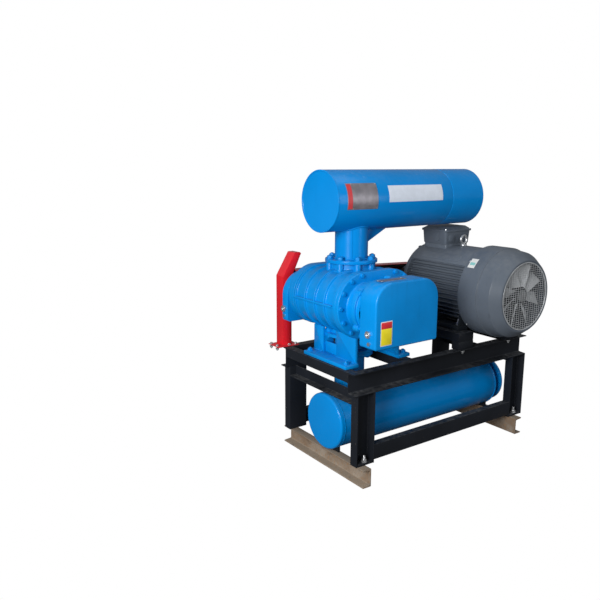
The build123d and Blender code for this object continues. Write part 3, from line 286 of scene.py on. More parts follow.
blue = (0.0002, 0.232, 0.640)
finishes = {
    "blue_paint": paint("bluePaint", blue, 0.22, 0.16, dustAndTopLight=0.08, peel=0.10, chips=0.08, runs=0.08, spread=0.05,
                        chipColour=(0.02, 0.07, 0.16)),
    "castBlue": paint("castBluePaint", (0.0003, 0.235, 0.64), 0.34, 0.10, dustAndTopLight=0.10, peel=0.42, chips=0.2,
                      runs=0.2,
                      chipColour=(0.02, 0.07, 0.16)),
    "dark_paint": paint("filterPaint", blue, 0.22, 0.16, dustAndTopLight=0.08, peel=0.10, chips=0.08, runs=0.08,
                        spread=0.05,
                        chipColour=(0.02, 0.07, 0.16)),
    # the grey mixed onto the black's upward faces is partly dust and partly a painted top light
    "black_paint": paint("blackPaint", (0.0105, 0.0125, 0.0170), 0.44, 0.08, dustAndTopLight=0.9,
                         dustAndTopLightColour=(0.085, 0.088, 0.092), peel=0.28, chips=0.6, chipColour=(0.14, 0.11, 0.09),
                         runs=0.0, spread=0.25),
    "grey_paint": paint("greyPaint", (0.104, 0.124, 0.152), 0.40, 0.10, dustAndTopLight=0.4, dustAndTopLightColour=(0.20, 0.21, 0.22),
                        peel=0.30, chips=0.4, chipColour=(0.20, 0.20, 0.20)),
    # the pale pink mixed onto the red's upward faces is a painted top highlight, not dust
    "red_paint": paint("redPaint", (0.70, 0.014, 0.024), 0.30, 0.4, dustAndTopLight=0.12, peel=0.12,
                       dustAndTopLightColour=(0.75, 0.32, 0.30), chips=0.4, chipColour=(0.25, 0.01, 0.01)),
    "rusty_steel": rust("rustySteel"),
    "zinc": metal("zincPlate", (0.66, 0.67, 0.68), 0.33),
    "bare_iron": metal("castIron", (0.20, 0.20, 0.205), 0.48, metallic=0.75),
    "steel": metal("turnedSteel", (0.50, 0.51, 0.52), 0.3),
    "brass": metal("brassFitting", (0.60, 0.42, 0.16), 0.32, stain=(0.16, 0.10, 0.05)),
    "rubber": rubber("beltRubber"),
    "winding": metal("varnishedWinding", (0.32, 0.12, 0.05), 0.45, metallic=0.4),
    "fan_plastic": paint("fanPaint", (0.66, 0.68, 0.70), 0.42, 0.1, dustAndTopLight=0.2, peel=0.2, chips=0.1),
    # the motor's grey darkened for its feet, standing for the shade under the motor: painted shade
    "darkMotor": paint("motorFootPaintedShade", (0.018, 0.023, 0.029), 0.45, 0.05, dustAndTopLight=0.6,
                       dustAndTopLightColour=(0.10, 0.105, 0.11),
                       peel=0.3, chips=0.4, chipColour=(0.14, 0.14, 0.14)),
    "wire": metal("wireGrille", (0.60, 0.62, 0.64), 0.42, stains=0.2, metallic=0.5),
    "fanHub": paint("fanHubPaint", (0.022, 0.024, 0.027), 0.5, 0.05, dustAndTopLight=0.3, peel=0.25, chips=0.2),
    "stickerPale": printed("stickerPale", (0.25, 0.55, 0.52)),
    # near black for thin discs standing in for bolt holes: painted shade
    "hole": printed("paintedHoleShade", (0.012, 0.012, 0.014), 0.7),
    "plateMetal": metal("plateMetal", (0.42, 0.40, 0.44), 0.36, stains=0.2, metallic=0.8),
    "plateWhite": printed("plateWhite", (0.72, 0.78, 0.88)),
    "plateRed": printed("plateRed", (0.62, 0.05, 0.06)),
    "stickerYellow": printed("stickerYellow", (0.83, 0.70, 0.02)),
    "stickerRed": printed("stickerRed", (0.68, 0.03, 0.04)),
    "stickerWhite": printed("stickerWhite", (0.75, 0.75, 0.72)),
}


def makeStage():
    size = 16.0
    mesh = bpy.data.meshes.new("floor")
    mesh.from_pydata([(-size, -size, 0), (size, -size, 0), (size, size, 0), (-size, size, 0)], [],
                     [(0, 1, 2, 3)])
    floor = bpy.data.objects.new("floor", mesh)
    scene.collection.objects.link(floor)
    g = Graph("floorPaint", (light["floor"],) * 3, 0.9)
    path = g.make("ShaderNodeLightPath")
    glow = g.make("ShaderNodeEmission")
    glow.inputs["Color"].default_value = (1, 1, 1, 1)
    glow.inputs["Strength"].default_value = 1.0
    blend = g.make("ShaderNodeMixShader")
    seen = Value(g, path.outputs["Is Camera Ray"]) * light["floorSeen"]
    g.feed(blend.inputs[0], seen)
    g.tree.links.new(g.shader.outputs[0], blend.inputs[1])
    g.tree.links.new(glow.outputs[0], blend.inputs[2])
    g.tree.links.new(blend.outputs[0], g.output.inputs[0])
    mesh.materials.append(g.material)
    world = bpy.data.worlds.new("sky")
    world.use_nodes = True
    scene.world = world
    tree = world.node_tree
    tree.nodes.clear()
    out = tree.nodes.new("ShaderNodeOutputWorld")
    seenSky = tree.nodes.new("ShaderNodeBackground")
    litSky = tree.nodes.new("ShaderNodeBackground")
    mixer = tree.nodes.new("ShaderNodeMixShader")
    rays = tree.nodes.new("ShaderNodeLightPath")
    seenSky.inputs["Color"].default_value = (1, 1, 1, 1)
    seenSky.inputs["Strength"].default_value = 1.0
    litSky.inputs["Color"].default_value = (0.93, 0.965, 1.0, 1)
    litSky.inputs["Strength"].default_value = light["sky"]
    tree.links.new(rays.outputs["Is Camera Ray"], mixer.inputs[0])
    tree.links.new(litSky.outputs[0], mixer.inputs[1])
    tree.links.new(seenSky.outputs[0], mixer.inputs[2])
    tree.links.new(mixer.outputs[0], out.inputs[0])


makeStage()
print("stage and materials ready")


def fillet(points, radius, closed=True, steps=4):
    # each corner of a flat line becomes an arc; radius is one number or one for each point
    points = [np.array(p, float) for p in points]
    count = len(points)
    radii = [radius] * count if np.isscalar(radius) else list(radius)
    line = []
    for k in range(count):
        if radii[k] <= 0 or (not closed and k in (0, count - 1)):
            line.append(points[k])
            continue
        here = points[k]
        back = points[k - 1] - here
        ahead = points[(k + 1) % count] - here
        backLength = np.linalg.norm(back)
        aheadLength = np.linalg.norm(ahead)
        back /= backLength
        ahead /= aheadLength
        half = np.arccos(np.clip(back @ ahead, -1, 1)) / 2
        if half > pi / 2 - 0.02:
            line.append(here)
            continue
        reach = min(radii[k] / np.tan(half), 0.48 * backLength, 0.48 * aheadLength)
        size = reach * np.tan(half)
        middle = here + (back + ahead) / np.linalg.norm(back + ahead) * size / np.sin(half)
        first = here + back * reach - middle
        last = here + ahead * reach - middle
        turn = atan2(first[0] * last[1] - first[1] * last[0], first @ last)
        for s in range(steps + 1):
            angle = turn * s / steps
            line.append(middle + np.array((first[0] * cos(angle) - first[1] * sin(angle),
                                           first[0] * sin(angle) + first[1] * cos(angle))))
    return np.array(line)


axes = {"x": (np.array((1.0, 0, 0)), np.array((0, 1.0, 0)), np.array((0, 0, 1.0))),
        "y": (np.array((0, 1.0, 0)), np.array((0, 0, 1.0)), np.array((1.0, 0, 0))),
        "z": (np.array((0, 0, 1.0)), np.array((1.0, 0, 0)), np.array((0, 1.0, 0)))}


def basis(way):
    # the way as a unit vector, and two more square to it
    way = np.array(way, float)
    way /= np.linalg.norm(way)
    other = np.array((0, 0, 1.0)) if abs(way[2]) < 0.9 else np.array((1.0, 0, 0))
    first = np.cross(other, way)
    first /= np.linalg.norm(first)
    return way, first, np.cross(way, first)


def oblong(x0, y0, x1, y1):
    # four corners, anticlockwise from the lowest
    return [(x0, y0), (x1, y0), (x1, y1), (x0, y1)]


class Form:
    def __init__(self):
        self.points = []
        self.faces = []
        self.kinds = []
        self.kind = 0

    def add(self, points, faces):
        # a shape's faces count from its own first point
        start = len(self.points)
        self.points.extend(map(tuple, points))
        self.faces.extend(tuple(start + i for i in face) for face in faces)
        self.kinds.extend([self.kind] * len(faces))

    def grid(self, rows, wrap=True, loop=False, capStart=False, capEnd=False):
        # rows of points joined by quads; wrap closes each row, loop joins the last row to the first
        rows = np.asarray(rows, float)
        count, width = rows.shape[:2]
        a = np.arange(count if loop else count - 1)[:, None] * width
        b = (a + width) % (count * width)
        c = np.arange(width if wrap else width - 1)
        d = (c + 1) % width
        faces = np.stack((a + c, a + d, b + d, b + c), axis=-1).reshape(-1, 4).tolist()
        if capStart:
            faces.append(tuple(range(width - 1, -1, -1)))
        if capEnd:
            faces.append(tuple((count - 1) * width + c for c in range(width)))
        self.add(rows.reshape(-1, 3), faces)

    def lathe(self, profile, centre, way, count=96, ends=(True, True), loop=False):
        # profile points are (distance along the axis, radius)
        axis, first, second = basis(way) if not isinstance(way, str) else axes[way]
        turn = np.linspace(0, 2 * pi, count, endpoint=False)
        circle = np.cos(turn)[:, None] * first + np.sin(turn)[:, None] * second
        rows = [np.array(centre, float) + axis * along + circle * max(radius, 1e-5)
                for along, radius in profile]
        self.grid(rows, True, loop, ends[0] and not loop, ends[1] and not loop)

    def sweep(self, section, start, run, first, second, caps=True):
        # flat section points (a, b) carried along run
        first = np.array(first, float)
        second = np.array(second, float)
        base = np.array(start, float) + np.array([a * first + b * second for a, b in section])
        if np.dot(np.cross(first, second), run) < 0:
            base = base[::-1]
        self.grid([base, base + np.array(run, float)], True, False, caps, caps)

    def box(self, low, high, bevel=0.0):
        # a block; both end faces are drawn in to soften their edges
        low = np.array(low, float)
        high = np.array(high, float)
        size = high - low
        corners = oblong(0, 0, size[0], size[1])
        outline = fillet(corners, bevel, True, 2) if bevel else np.array(corners)
        if not bevel:
            self.sweep(outline, low, (0, 0, size[2]), (1, 0, 0), (0, 1, 0))
            return
        middle = np.array((size[0] / 2, size[1] / 2))
        rows = []
        for z, inset in ((0, bevel), (bevel * 0.3, bevel * 0.3), (bevel, 0), (size[2] - bevel, 0),
                         (size[2] - bevel * 0.3, bevel * 0.3), (size[2], bevel)):
            flat = middle + (outline - middle) * (1 - 2 * inset / size[:2])
            rows.append(np.column_stack((flat + low[:2], np.full(len(flat), low[2] + z))))
        self.grid(rows, True, False, True, True)

    def tube(self, path, radius, count=12, closed=False):
        # circles along a path, each square to it and turned as little as possible from the last
        path = np.array(path, float)
        total = len(path)
        rows = []
        last = None
        for k in range(total):
            ahead = path[(k + 1) % total] - path[k] if closed or k < total - 1 else path[k] - path[k - 1]
            behind = path[k] - path[k - 1] if closed or k > 0 else ahead
            way = ahead / np.linalg.norm(ahead) + behind / np.linalg.norm(behind)
            way /= np.linalg.norm(way)
            if last is None:
                first = basis(way)[1]
            else:
                first = last - way * (last @ way)
                first /= np.linalg.norm(first)
            last = first
            second = np.cross(way, first)
            turn = np.linspace(0, 2 * pi, count, endpoint=False)
            rows.append(path[k] + radius * (np.cos(turn)[:, None] * first + np.sin(turn)[:, None] * second))
        self.grid(rows, True, closed, not closed, not closed)

    def hexagon(self, base, way, across, height, turn=0.0):
        # a hexagon head with its top corners turned off
        axis, first, second = basis(way)
        angle = 2 * pi * np.arange(24) / 24
        flat = across / 2 / np.cos((angle + pi / 6) % (pi / 3) - pi / 6)
        circle = np.cos(angle + turn)[:, None] * first + np.sin(angle + turn)[:, None] * second
        rows = []
        for up, size in ((0, 1.0), (height * 0.80, 1.0), (height * 0.93, 0.95), (height, 0.86)):
            reach = np.minimum(flat, across / 2 * 1.155 * size) if size < 1 else flat
            rows.append(np.array(base, float) + axis * up + reach[:, None] * circle)
        self.grid(rows, True, False, True, True)

    def bolt(self, base, way, size, head=None, stud=0.0, washer=True, turn=0.2):
        # size is the thread's diameter; base lies on the clamped face
        axis = basis(way)[0]
        base = np.array(base, float)
        up = 0.0
        if washer:
            up = size * 0.18
            self.lathe([(0, size * 1.12), (up * 0.8, size * 1.12), (up, size * 1.06), (up, size * 0.5)],
                       base, axis, 24)
        head = head or size * 0.8
        self.hexagon(base + axis * up, axis, size * 1.6, head, turn)
        if stud:
            top = up + head
            profile = [(top - 0.001, size * 0.46)]
            turns = max(2, int(stud / (size * 0.17)))
            for k in range(turns):
                z = top + stud * k / turns
                profile += [(z, size * 0.5), (z + stud / turns * 0.5, size * 0.44)]
            profile += [(top + stud, size * 0.40)]
            self.lathe(profile, base, axis, 18)


def piece(name, form, finish, stands=(), body="frame", angle=40):
    # makes the mesh, and says its body, its slot and the nodes it stands for
    mesh = bpy.data.meshes.new(name)
    mesh.from_pydata(form.points, [], form.faces)
    finishesUsed = (finish,) if isinstance(finish, str) else finish
    for item in finishesUsed:
        mesh.materials.append(finishes[item])
    mesh.polygons.foreach_set("material_index", np.array(form.kinds, np.int32))
    mesh.validate()
    work = bmesh.new()
    work.from_mesh(mesh)
    bmesh.ops.recalc_face_normals(work, faces=work.faces)
    work.to_mesh(mesh)
    work.free()
    mesh.shade_smooth()
    mesh.set_sharp_from_angle(angle=radians(angle))
    made = bpy.data.objects.new(name, mesh)
    scene.collection.objects.link(made)
    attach(made, body)
    if stands:
        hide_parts(*stands)


driveMiddle = nodeMiddle("drive_gear")
drivenMiddle = nodeMiddle("driven_gear")
shaftHeight = (driveMiddle[2] + drivenMiddle[2]) / 2
driveX = nodeMiddle("seal_cap")[0]
blowerX = nodeMiddle("rotor_casing")[0]
halfSpan = blowerX - driveX
drivenX = blowerX + halfSpan
casingLow, casingHigh = nodeBox("rotor_casing")
casingY = (casingLow[1] + casingHigh[1]) / 2
motorMiddle = nodeMiddle("cowl_grille")
motorX = motorMiddle[0]


def stadium(y, radius, count=40):
    # two half circles joined by straight sides, seen along Y
    turn = np.linspace(-pi / 2, pi / 2, count)
    right = np.column_stack((drivenX + radius * np.cos(turn), np.full(count, y),
                             shaftHeight + radius * np.sin(turn)))
    left = np.column_stack((driveX - radius * np.cos(turn), np.full(count, y),
                            shaftHeight - radius * np.sin(turn)))
    top = [(drivenX + (driveX - drivenX) * s, y, shaftHeight + radius) for s in (0.25, 0.5, 0.75)]
    low = [(driveX + (drivenX - driveX) * s, y, shaftHeight - radius) for s in (0.25, 0.5, 0.75)]
    return np.vstack((right, top, left, low))[::-1]


# a profile of places along Y and reach from the shaft lines, carried round both ends
def stadiumForm(form, profile, caps=(True, True)):
    form.grid([stadium(y, r) for y, r in profile], True, False, *caps)


def circleSpots(radius, count=8, start=22.5):
    # evenly spaced offsets round a circle
    angles = [radians(start + 360 / count * k) for k in range(count)]
    return [(radius * cos(angle), radius * sin(angle)) for angle in angles]


def stadiumSpots(angles, ring):
    # angles given for the left end, with the places they make round both ends
    return [(angle, centre + flip * ring * cos(radians(angle)), shaftHeight + ring * sin(radians(angle)))
            for angle in angles for centre, flip in ((driveX, 1), (drivenX, -1))]


def levelRow(flat, y):
    # an outline in X and Z placed at one distance along Y
    return np.column_stack((flat[:, 0], np.full(len(flat), y), flat[:, 1]))


print("mesh tools ready")

casing = {"skin": 0.157, "rib": 0.1690, "ribWidth": 0.013, "ribs": (-0.093, -0.007, 0.080, 0.166),
          "flange": 0.175, "flangeDepth": 0.025, "rear": 0.168, "bore": 0.1229, "soft": 0.006,
          "boss": 0.116, "stud": 0.019, "circle": 0.120,
          "bolt": 0.00825, "boltAngles": (100, 126, 152, 180, 208, 236, 260),
          "boltRings": ((-0.1775, 0.166), (0.177, 0.160)), "strip": (-0.166, 0.338)}


def casingProfile():
    # from the front bore out over the flange, the ribs and the rear rim, and back to the rear bore
    c = casing
    half = (casingHigh[1] - casingLow[1]) / 2
    line = [(-half, c["bore"], 0), (-half, c["flange"], 0.0025), (-half + c["flangeDepth"], c["flange"], 0.004),
            (-half + c["flangeDepth"] + 0.001, c["skin"], c["soft"])]
    for y in c["ribs"]:
        w = c["ribWidth"] / 2
        line += [(y - w * 1.15, c["skin"], c["soft"]), (y - w * 0.8, c["rib"], 0.0035),
                 (y + w * 0.8, c["rib"], 0.0035), (y + w * 1.15, c["skin"], 0.003)]
    line += [(half - c["flangeDepth"] - 0.0005, c["skin"], 0.002), (half - c["flangeDepth"], c["rear"], 0.003),
             (half, c["rear"], 0.002), (half, c["bore"], 0)]
    return fillet([p[:2] for p in line], [p[2] for p in line], False, 4)


def makeCasing():
    # the ribbed profile round both shaft lines, with port bosses, bolt columns and side strips
    c = casing
    form = Form()
    stadiumForm(form, [(casingY + y, r) for y, r in casingProfile()], (False, False))
    for up in (-1, 1):
        face = casingHigh[2] if up > 0 else casingLow[2]
        rise = abs(face - shaftHeight)
        skin = c["skin"]
        line = fillet([(0.10, c["boss"]), (skin - 0.004, c["boss"] + 0.022), (skin + 0.008, c["boss"]),
                       (rise, c["boss"]), (rise, 0.08)], [0, 0.01, 0.012, 0.003, 0], False, 5)
        form.lathe(line, (blowerX, casingY, shaftHeight), (0, 0, up), 96, (False, True))
        column = fillet([(0.10, c["stud"]), (rise, c["stud"]), (rise, 0.004)], [0, 0.002, 0], False, 3)
        for dx, dy in circleSpots(c["circle"]):
            form.lathe(column, (blowerX + dx, casingY + dy, shaftHeight), (0, 0, up), 28, (False, True))
    side = c["skin"] + halfSpan
    for way in (-1, 1):
        section = fillet([(-0.012, -0.008), (0.0165, -0.0055), (0.0165, 0.0055), (-0.012, 0.008)],
                         [0, 0.0035, 0.0035, 0])
        start = (blowerX + way * side, casingY + c["strip"][0], shaftHeight + 0.002)
        form.sweep(section, start, (0, c["strip"][1], 0), (way, 0, 0), (0, 0, 1))
    for y, ring in c["boltRings"]:
        for angle, x, z in stadiumSpots(c["boltAngles"], ring):
            form.bolt((x, casingY + y, z), (0, 1 if y < 0 else -1, 0), c["bolt"], washer=False)
    piece("casingShell", form, "castBlue", stands=("rotor_casing",))


makeCasing()
print("rotor casing done")


def spot(x, y, z):
    # a place given in metres from the casing's middle across and along, and from the floor up
    return np.array((blowerX + x, casingY + y, z))


def resample(line, count):
    # the same number of evenly spaced points on every closed outline, starting under its middle
    line = np.array(line, float)
    loop = np.vstack((line, line[:1]))
    steps = np.linalg.norm(np.diff(loop, axis=0), axis=1)
    along = np.concatenate(([0], np.cumsum(steps)))
    start = along[np.argmin(np.abs(line[:, 0] - line[:, 0].mean()) + (line[:, 1] > line[:, 1].mean()) * 10)]
    where = (start + np.linspace(0, along[-1], count, endpoint=False)) % along[-1]
    return np.column_stack([np.interp(where, along, loop[:, k]) for k in (0, 1)])


def shrink(line, inset):
    # moves a closed outline inwards by its corner normals
    line = np.array(line, float)
    ahead = np.roll(line, -1, axis=0) - np.roll(line, 1, axis=0)
    ahead /= np.maximum(np.linalg.norm(ahead, axis=1)[:, None], 1e-9)
    normal = np.column_stack((-ahead[:, 1], ahead[:, 0]))
    area = np.sum(line[:, 0] * np.roll(line[:, 1], -1) - np.roll(line[:, 0], -1) * line[:, 1])
    return line + normal * inset * (1 if area > 0 else -1)


def plateForm(form, outline, low, high, axis="y", round=0.002, caps=(True, True)):
    # an outline in the two other axes given thickness along one axis, with both rims rounded
    rows = []
    for along, inset in ((low, round), (low + round * 0.3, round * 0.3), (low + round, 0.0),
                         (high - round, 0.0), (high - round * 0.3, round * 0.3), (high, round)):
        flat = shrink(outline, inset) if inset else np.array(outline, float)
        level = np.full(len(flat), along)
        order = {"x": (level, flat[:, 0], flat[:, 1]), "y": (flat[:, 0], level, flat[:, 1]),
                 "z": (flat[:, 0], flat[:, 1], level)}[axis]
        rows.append(np.column_stack(order))
    form.grid(rows, True, False, *caps)


# an upright block's outline in X and Z with large upper and small lower corners
def hoodOutline(half, bottom, top, corner, low=0.014):
    return fillet(oblong(blowerX - half, bottom, blowerX + half, top), [low, low, corner, corner], True, 14)


# two half circles round the shaft lines, in X and Z alone
def stadiumOutline(radius, count=60):
    turn = np.linspace(-pi / 2, pi / 2, count)
    right = np.column_stack((drivenX + radius * np.cos(turn), shaftHeight + radius * np.sin(turn)))
    left = np.column_stack((driveX - radius * np.cos(turn), shaftHeight - radius * np.sin(turn)))
    return np.vstack((right, left))


# gear end: bolted plate, carrier and the deep rounded cover

gearEnd = {"ring": 0.160, "angles": (98, 124, 152, 180, 208, 236, 262), "bolt": 0.0115, "ears": 0.017,
           "softFront": 0.010, "side": 0.133, "neck": 0.121, "half": 0.213, "corner": 0.108, "points": 240,
           "sticker": (-0.180, -0.105, 0.775, 0.898), "border": 0.003, "redHeight": 0.037,
           "topPlate": (0.085, 0.022), "topPlateX": -0.060}
earSpots = ((-0.177, 0.084), (0.011, 0.139), (-0.191, -0.092), (0.177, 0.084), (0.191, -0.092))


def makeGearEnd():
    # a stepped profile round both shaft lines, with round ears at the joint
    g = gearEnd
    low, high = nodeBox("gear_end_plate")
    radius = (high[2] - low[2]) / 2
    joint = low[1]
    form = Form()
    profile = fillet([(high[1], 0.10), (high[1], radius), (high[1] - 0.025, radius), (high[1] - 0.025, 0.1195),
                      (joint + 0.018, 0.1185), (joint + 0.018, g["side"]), (joint, g["side"]), (joint, 0.10)],
                     [0, 0.002, 0.004, 0.008, 0.006, 0.003, 0.001, 0], False, 4)
    stadiumForm(form, profile, (False, False))
    for dx, dz in earSpots:
        line = fillet([(0, 0.002), (0, g["ears"]), (0.018, g["ears"]), (0.018, 0.002)],
                      [0, 0.001, 0.003, 0], False, 3)
        form.lathe(line, (blowerX + dx, joint, shaftHeight + dz), "y", 32)
    piece("gearEndPlate", form, "castBlue", stands=("gear_end_plate",))


def makeGearCover():
    # outlines along Y: the hood with a rounded front, then a step in to the neck and out to the flange
    g = gearEnd
    low, high = nodeBox("gear_cover")
    front, joint = low[1], high[1]
    step = joint - 0.043
    flange = joint - 0.015
    hood = resample(hoodOutline(g["half"], low[2], high[2], g["corner"]), g["points"])
    neck = resample(stadiumOutline(g["neck"]), g["points"])
    wide = resample(stadiumOutline(g["side"]), g["points"])
    soft = g["softFront"]
    rows = [(front + soft * (1 - cos(a)), shrink(hood, soft * (1 - sin(a)))) for a in np.linspace(0, pi / 2, 6)]
    rows += [(step - 0.006, hood), (step - 0.0015, shrink(hood, 0.0015)), (step, shrink(hood, 0.006))]
    rows += [(step, shrink(neck, -0.004)), (step + 0.003, neck), (flange - 0.003, neck),
             (flange, shrink(neck, -0.003))]
    rows += [(flange, shrink(wide, 0.002)), (flange + 0.002, wide), (joint, wide)]
    form = Form()
    form.grid([levelRow(flat, y) for y, flat in rows], True, False, True, True)
    for dx, dz in earSpots:
        line = fillet([(0, 0.002), (0, g["ears"]), (0.019, g["ears"]), (0.019, 0.002)],
                      [0, 0.003, 0.001, 0], False, 3)
        form.lathe(line, (blowerX + dx, flange - 0.004, shaftHeight + dz), "y", 32)
    piece("gearCover", form, "castBlue", stands=("gear_cover",), angle=38)
    labels = Form()
    x0, x1, z0, z1 = g["sticker"]
    x0, x1 = blowerX + x0, blowerX + x1
    rim, split = g["border"], z1 - g["redHeight"]
    y = front - 0.0006
    for kind, (a, b, c, d) in ((0, (x0, x1, z0, z1)), (1, (x0 + rim, x1 - rim, split, z1 - 0.004)),
                               (2, (x0 + rim, x1 - rim, z0 + 0.004, split))):
        labels.kind = kind
        lift = 0.0003 * (kind > 0)
        plateForm(labels, fillet(oblong(a, c, b, d), 0.002), y - lift, y + 0.0004, "y", 0.0001)
    piece("coverSticker", labels, ("stickerWhite", "stickerRed", "stickerYellow"), angle=32)
    top = Form()
    middle = (blowerX + g["topPlateX"], (front + step) / 2 + 0.004)
    half, deep = g["topPlate"]
    corners = oblong(middle[0] - half, middle[1] - deep, middle[0] + half, middle[1] + deep)
    plateForm(top, fillet(corners, 0.003), high[2] - 0.0002, high[2] + 0.0009, "z", 0.0003)
    top.kind = 1
    for dx in (-0.077, 0.077):
        for dy in (-0.014, 0.014):
            top.lathe([(0, 0.0028), (0.0012, 0.0024), (0.0018, 0.0008)],
                      (middle[0] + dx, middle[1] + dy, high[2] + 0.0008), "z", 12)
    piece("coverPlate", top, ("plateMetal", "zinc"), angle=32)


def makeCoverBolts():
    # bolts round the end plate, on the ears and through the feet
    g = gearEnd
    form = Form()
    face = nodeBox("gear_end_plate")[1][1] - 0.025
    for angle, x, z in stadiumSpots(g["angles"], g["ring"]):
        form.bolt((x, face, z), (0, -1, 0), g["bolt"], head=0.0085, turn=angle)
    flange = nodeBox("gear_end_plate")[0][1] - 0.019
    for dx, dz in earSpots:
        form.bolt((blowerX + dx, flange, shaftHeight + dz), (0, -1, 0), 0.010, head=0.008, turn=dx * 50)
    form.kind = 1
    for name in ("left_blower_foot", "right_blower_foot"):
        low, high = nodeBox(name)
        way = -1 if name.startswith("left") else 1
        x = (low[0] if way < 0 else high[0]) - way * 0.026
        for y in (low[1] + 0.030, high[1] - 0.026):
            form.bolt((x, y, low[2] + 0.020), (0, 0, 1), 0.016, head=0.011, stud=0.005, turn=0.4 + y * 9)
    piece("coverBolts", form, ("castBlue", "blue_paint"), stands=("plate_bolts",))


def makeDriveEnd():
    # a plain plate, a shallow hood with a rounded back, and a turned seal cap
    low, high = nodeBox("drive_end_plate")
    form = Form()
    radius = 0.168
    face = low[1] + 0.027
    profile = fillet([(low[1], 0.08), (low[1], radius), (face, radius), (face, 0.08)], [0, 0.001, 0.003, 0],
                     False, 4)
    stadiumForm(form, profile, (False, False))
    piece("driveEndPlate", form, "castBlue", stands=("drive_end_plate",))
    low, high = nodeBox("drive_end_cover")
    half = (high[0] - low[0]) / 2
    hood = resample(hoodOutline(half, low[2], high[2], 0.150, 0.020), gearEnd["points"])
    soft = 0.010
    rows = [(low[1], shrink(hood, 0.0015)), (low[1] + 0.002, hood)]
    rows += [(high[1] - soft * (1 - sin(a)),
              shrink(hood, soft * (1 - cos(a)))) for a in np.linspace(0, pi / 2, 6)]
    form = Form()
    form.grid([levelRow(flat, y) for y, flat in rows], True, False, True, True)
    piece("driveEndCover", form, "castBlue", stands=("drive_end_cover",), angle=38)
    low, high = nodeBox("seal_cap")
    form = Form()
    middle = ((low[0] + high[0]) / 2, low[1], (low[2] + high[2]) / 2)
    form.lathe(fillet([(0, 0.064), (0.014, 0.064), (0.014, 0.048), (0.022, 0.048), (0.022, 0.0302)],
                      [0, 0.003, 0.002, 0.002, 0], False, 4), middle, "y", 64, (False, False))
    for dx, dz in circleSpots(0.056, 6, 30):
        form.bolt((middle[0] + dx, low[1] + 0.014, middle[2] + dz), (0, 1, 0), 0.0062, head=0.005, washer=False)
    piece("sealCap", form, "castBlue", stands=("seal_cap",))


footSizes = {"strip": 0.087, "thick": 0.020, "plate": 0.015, "inset": 0.072, "frontEnd": 0.162, "gapEnd": 0.278}


def makeFeet():
    # a strip, two upright plates cut to the casing above, a panel and small ribs
    f = footSizes
    for name, way in (("left_blower_foot", -1), ("right_blower_foot", 1)):
        low, high = nodeBox(name)
        outer = low[0] if way < 0 else high[0]
        floor = low[2]
        top = floor + f["thick"]
        form = Form()
        inner = outer - way * f["strip"]
        form.box((min(outer, inner), low[1], floor), (max(outer, inner), high[1], top), 0.003)
        x0 = outer - way * f["inset"]
        x1 = x0 - way * f["plate"]
        a, b = min(x0, x1), max(x0, x1)
        front = low[1] + 0.010
        mid = front + f["frontEnd"]
        back = front + f["gapEnd"]
        middle = driveX if way < 0 else drivenX
        reach = abs((x0 + x1) / 2 - middle)
        flangeUnder = shaftHeight - np.sqrt(0.1753 ** 2 - reach ** 2)
        skinUnder = shaftHeight - np.sqrt(0.1573 ** 2 - reach ** 2) + 0.002
        edge = nodeBox("gear_end_plate")[1][1] + 0.0255
        line = [(front, top - 0.001), (mid, top - 0.001), (mid, skinUnder - 0.012), (edge, skinUnder - 0.012),
                (edge, flangeUnder), (front, flangeUnder)]
        plateForm(form, fillet(line, 0.001, True, 1), a, b, "x", 0.0015)
        line = oblong(back, top - 0.001, high[1], skinUnder - 0.012)
        plateForm(form, fillet(line, 0.001, True, 1), a, b, "x", 0.0015)
        p0, p1 = sorted((x1, x1 - way * 0.008))
        form.box((p0, mid - 0.001, floor + 0.008),
                 (p1, back + 0.001, nodeBox("rotor_casing")[0][2] - 0.048), 0.001)
        for y in (mid - 0.014, back):
            q0, q1 = sorted((x1 + way * 0.001, x1 - way * 0.058))
            form.box((q0, y, top + 0.036), (q1, y + 0.014, skinUnder - 0.030), 0.0015)
        # weld beads along the plates' feet
        for y0, y1 in ((front, mid), (back, high[1])):
            for x, turn in ((x0, way), (x1, -way)):
                path = [(x + turn * 0.002, y, top + 0.002) for y in np.linspace(y0 + 0.003, y1 - 0.003, 24)]
                wobble = np.array([(0, 0, 0.0007 * sin(k * 2.3)) for k in range(24)])
                form.tube(np.array(path) + wobble, 0.0034, 8)
        piece(name.split("_")[0] + "Foot", form, "castBlue", stands=(name,), angle=38)


# pipework, silencers and their blank plates

pipework = {"neck": 0.090, "flange": 0.1425, "thick": 0.018, "circle": 0.120, "bolt": 0.0175,
            "weld": 0.092, "collar": 0.130, "collarCircle": 0.111, "pipe": 0.084, "collarRoot": 0.122,
            "seam": (0.0905, 0.93)}


def beadRing(form, centre, way, radius, size=0.0035, count=96, ripple=0.0006):
    # a weld bead: a thin ring whose radius ripples
    first, second = basis(way)[1:]
    turn = np.linspace(0, 2 * pi, count, endpoint=False)
    reach = radius + ripple * np.sin(turn * count / 3.1)
    circle = np.cos(turn)[:, None] * first + np.sin(turn)[:, None] * second
    form.tube(np.array(centre, float) + reach[:, None] * circle, size, 8, True)


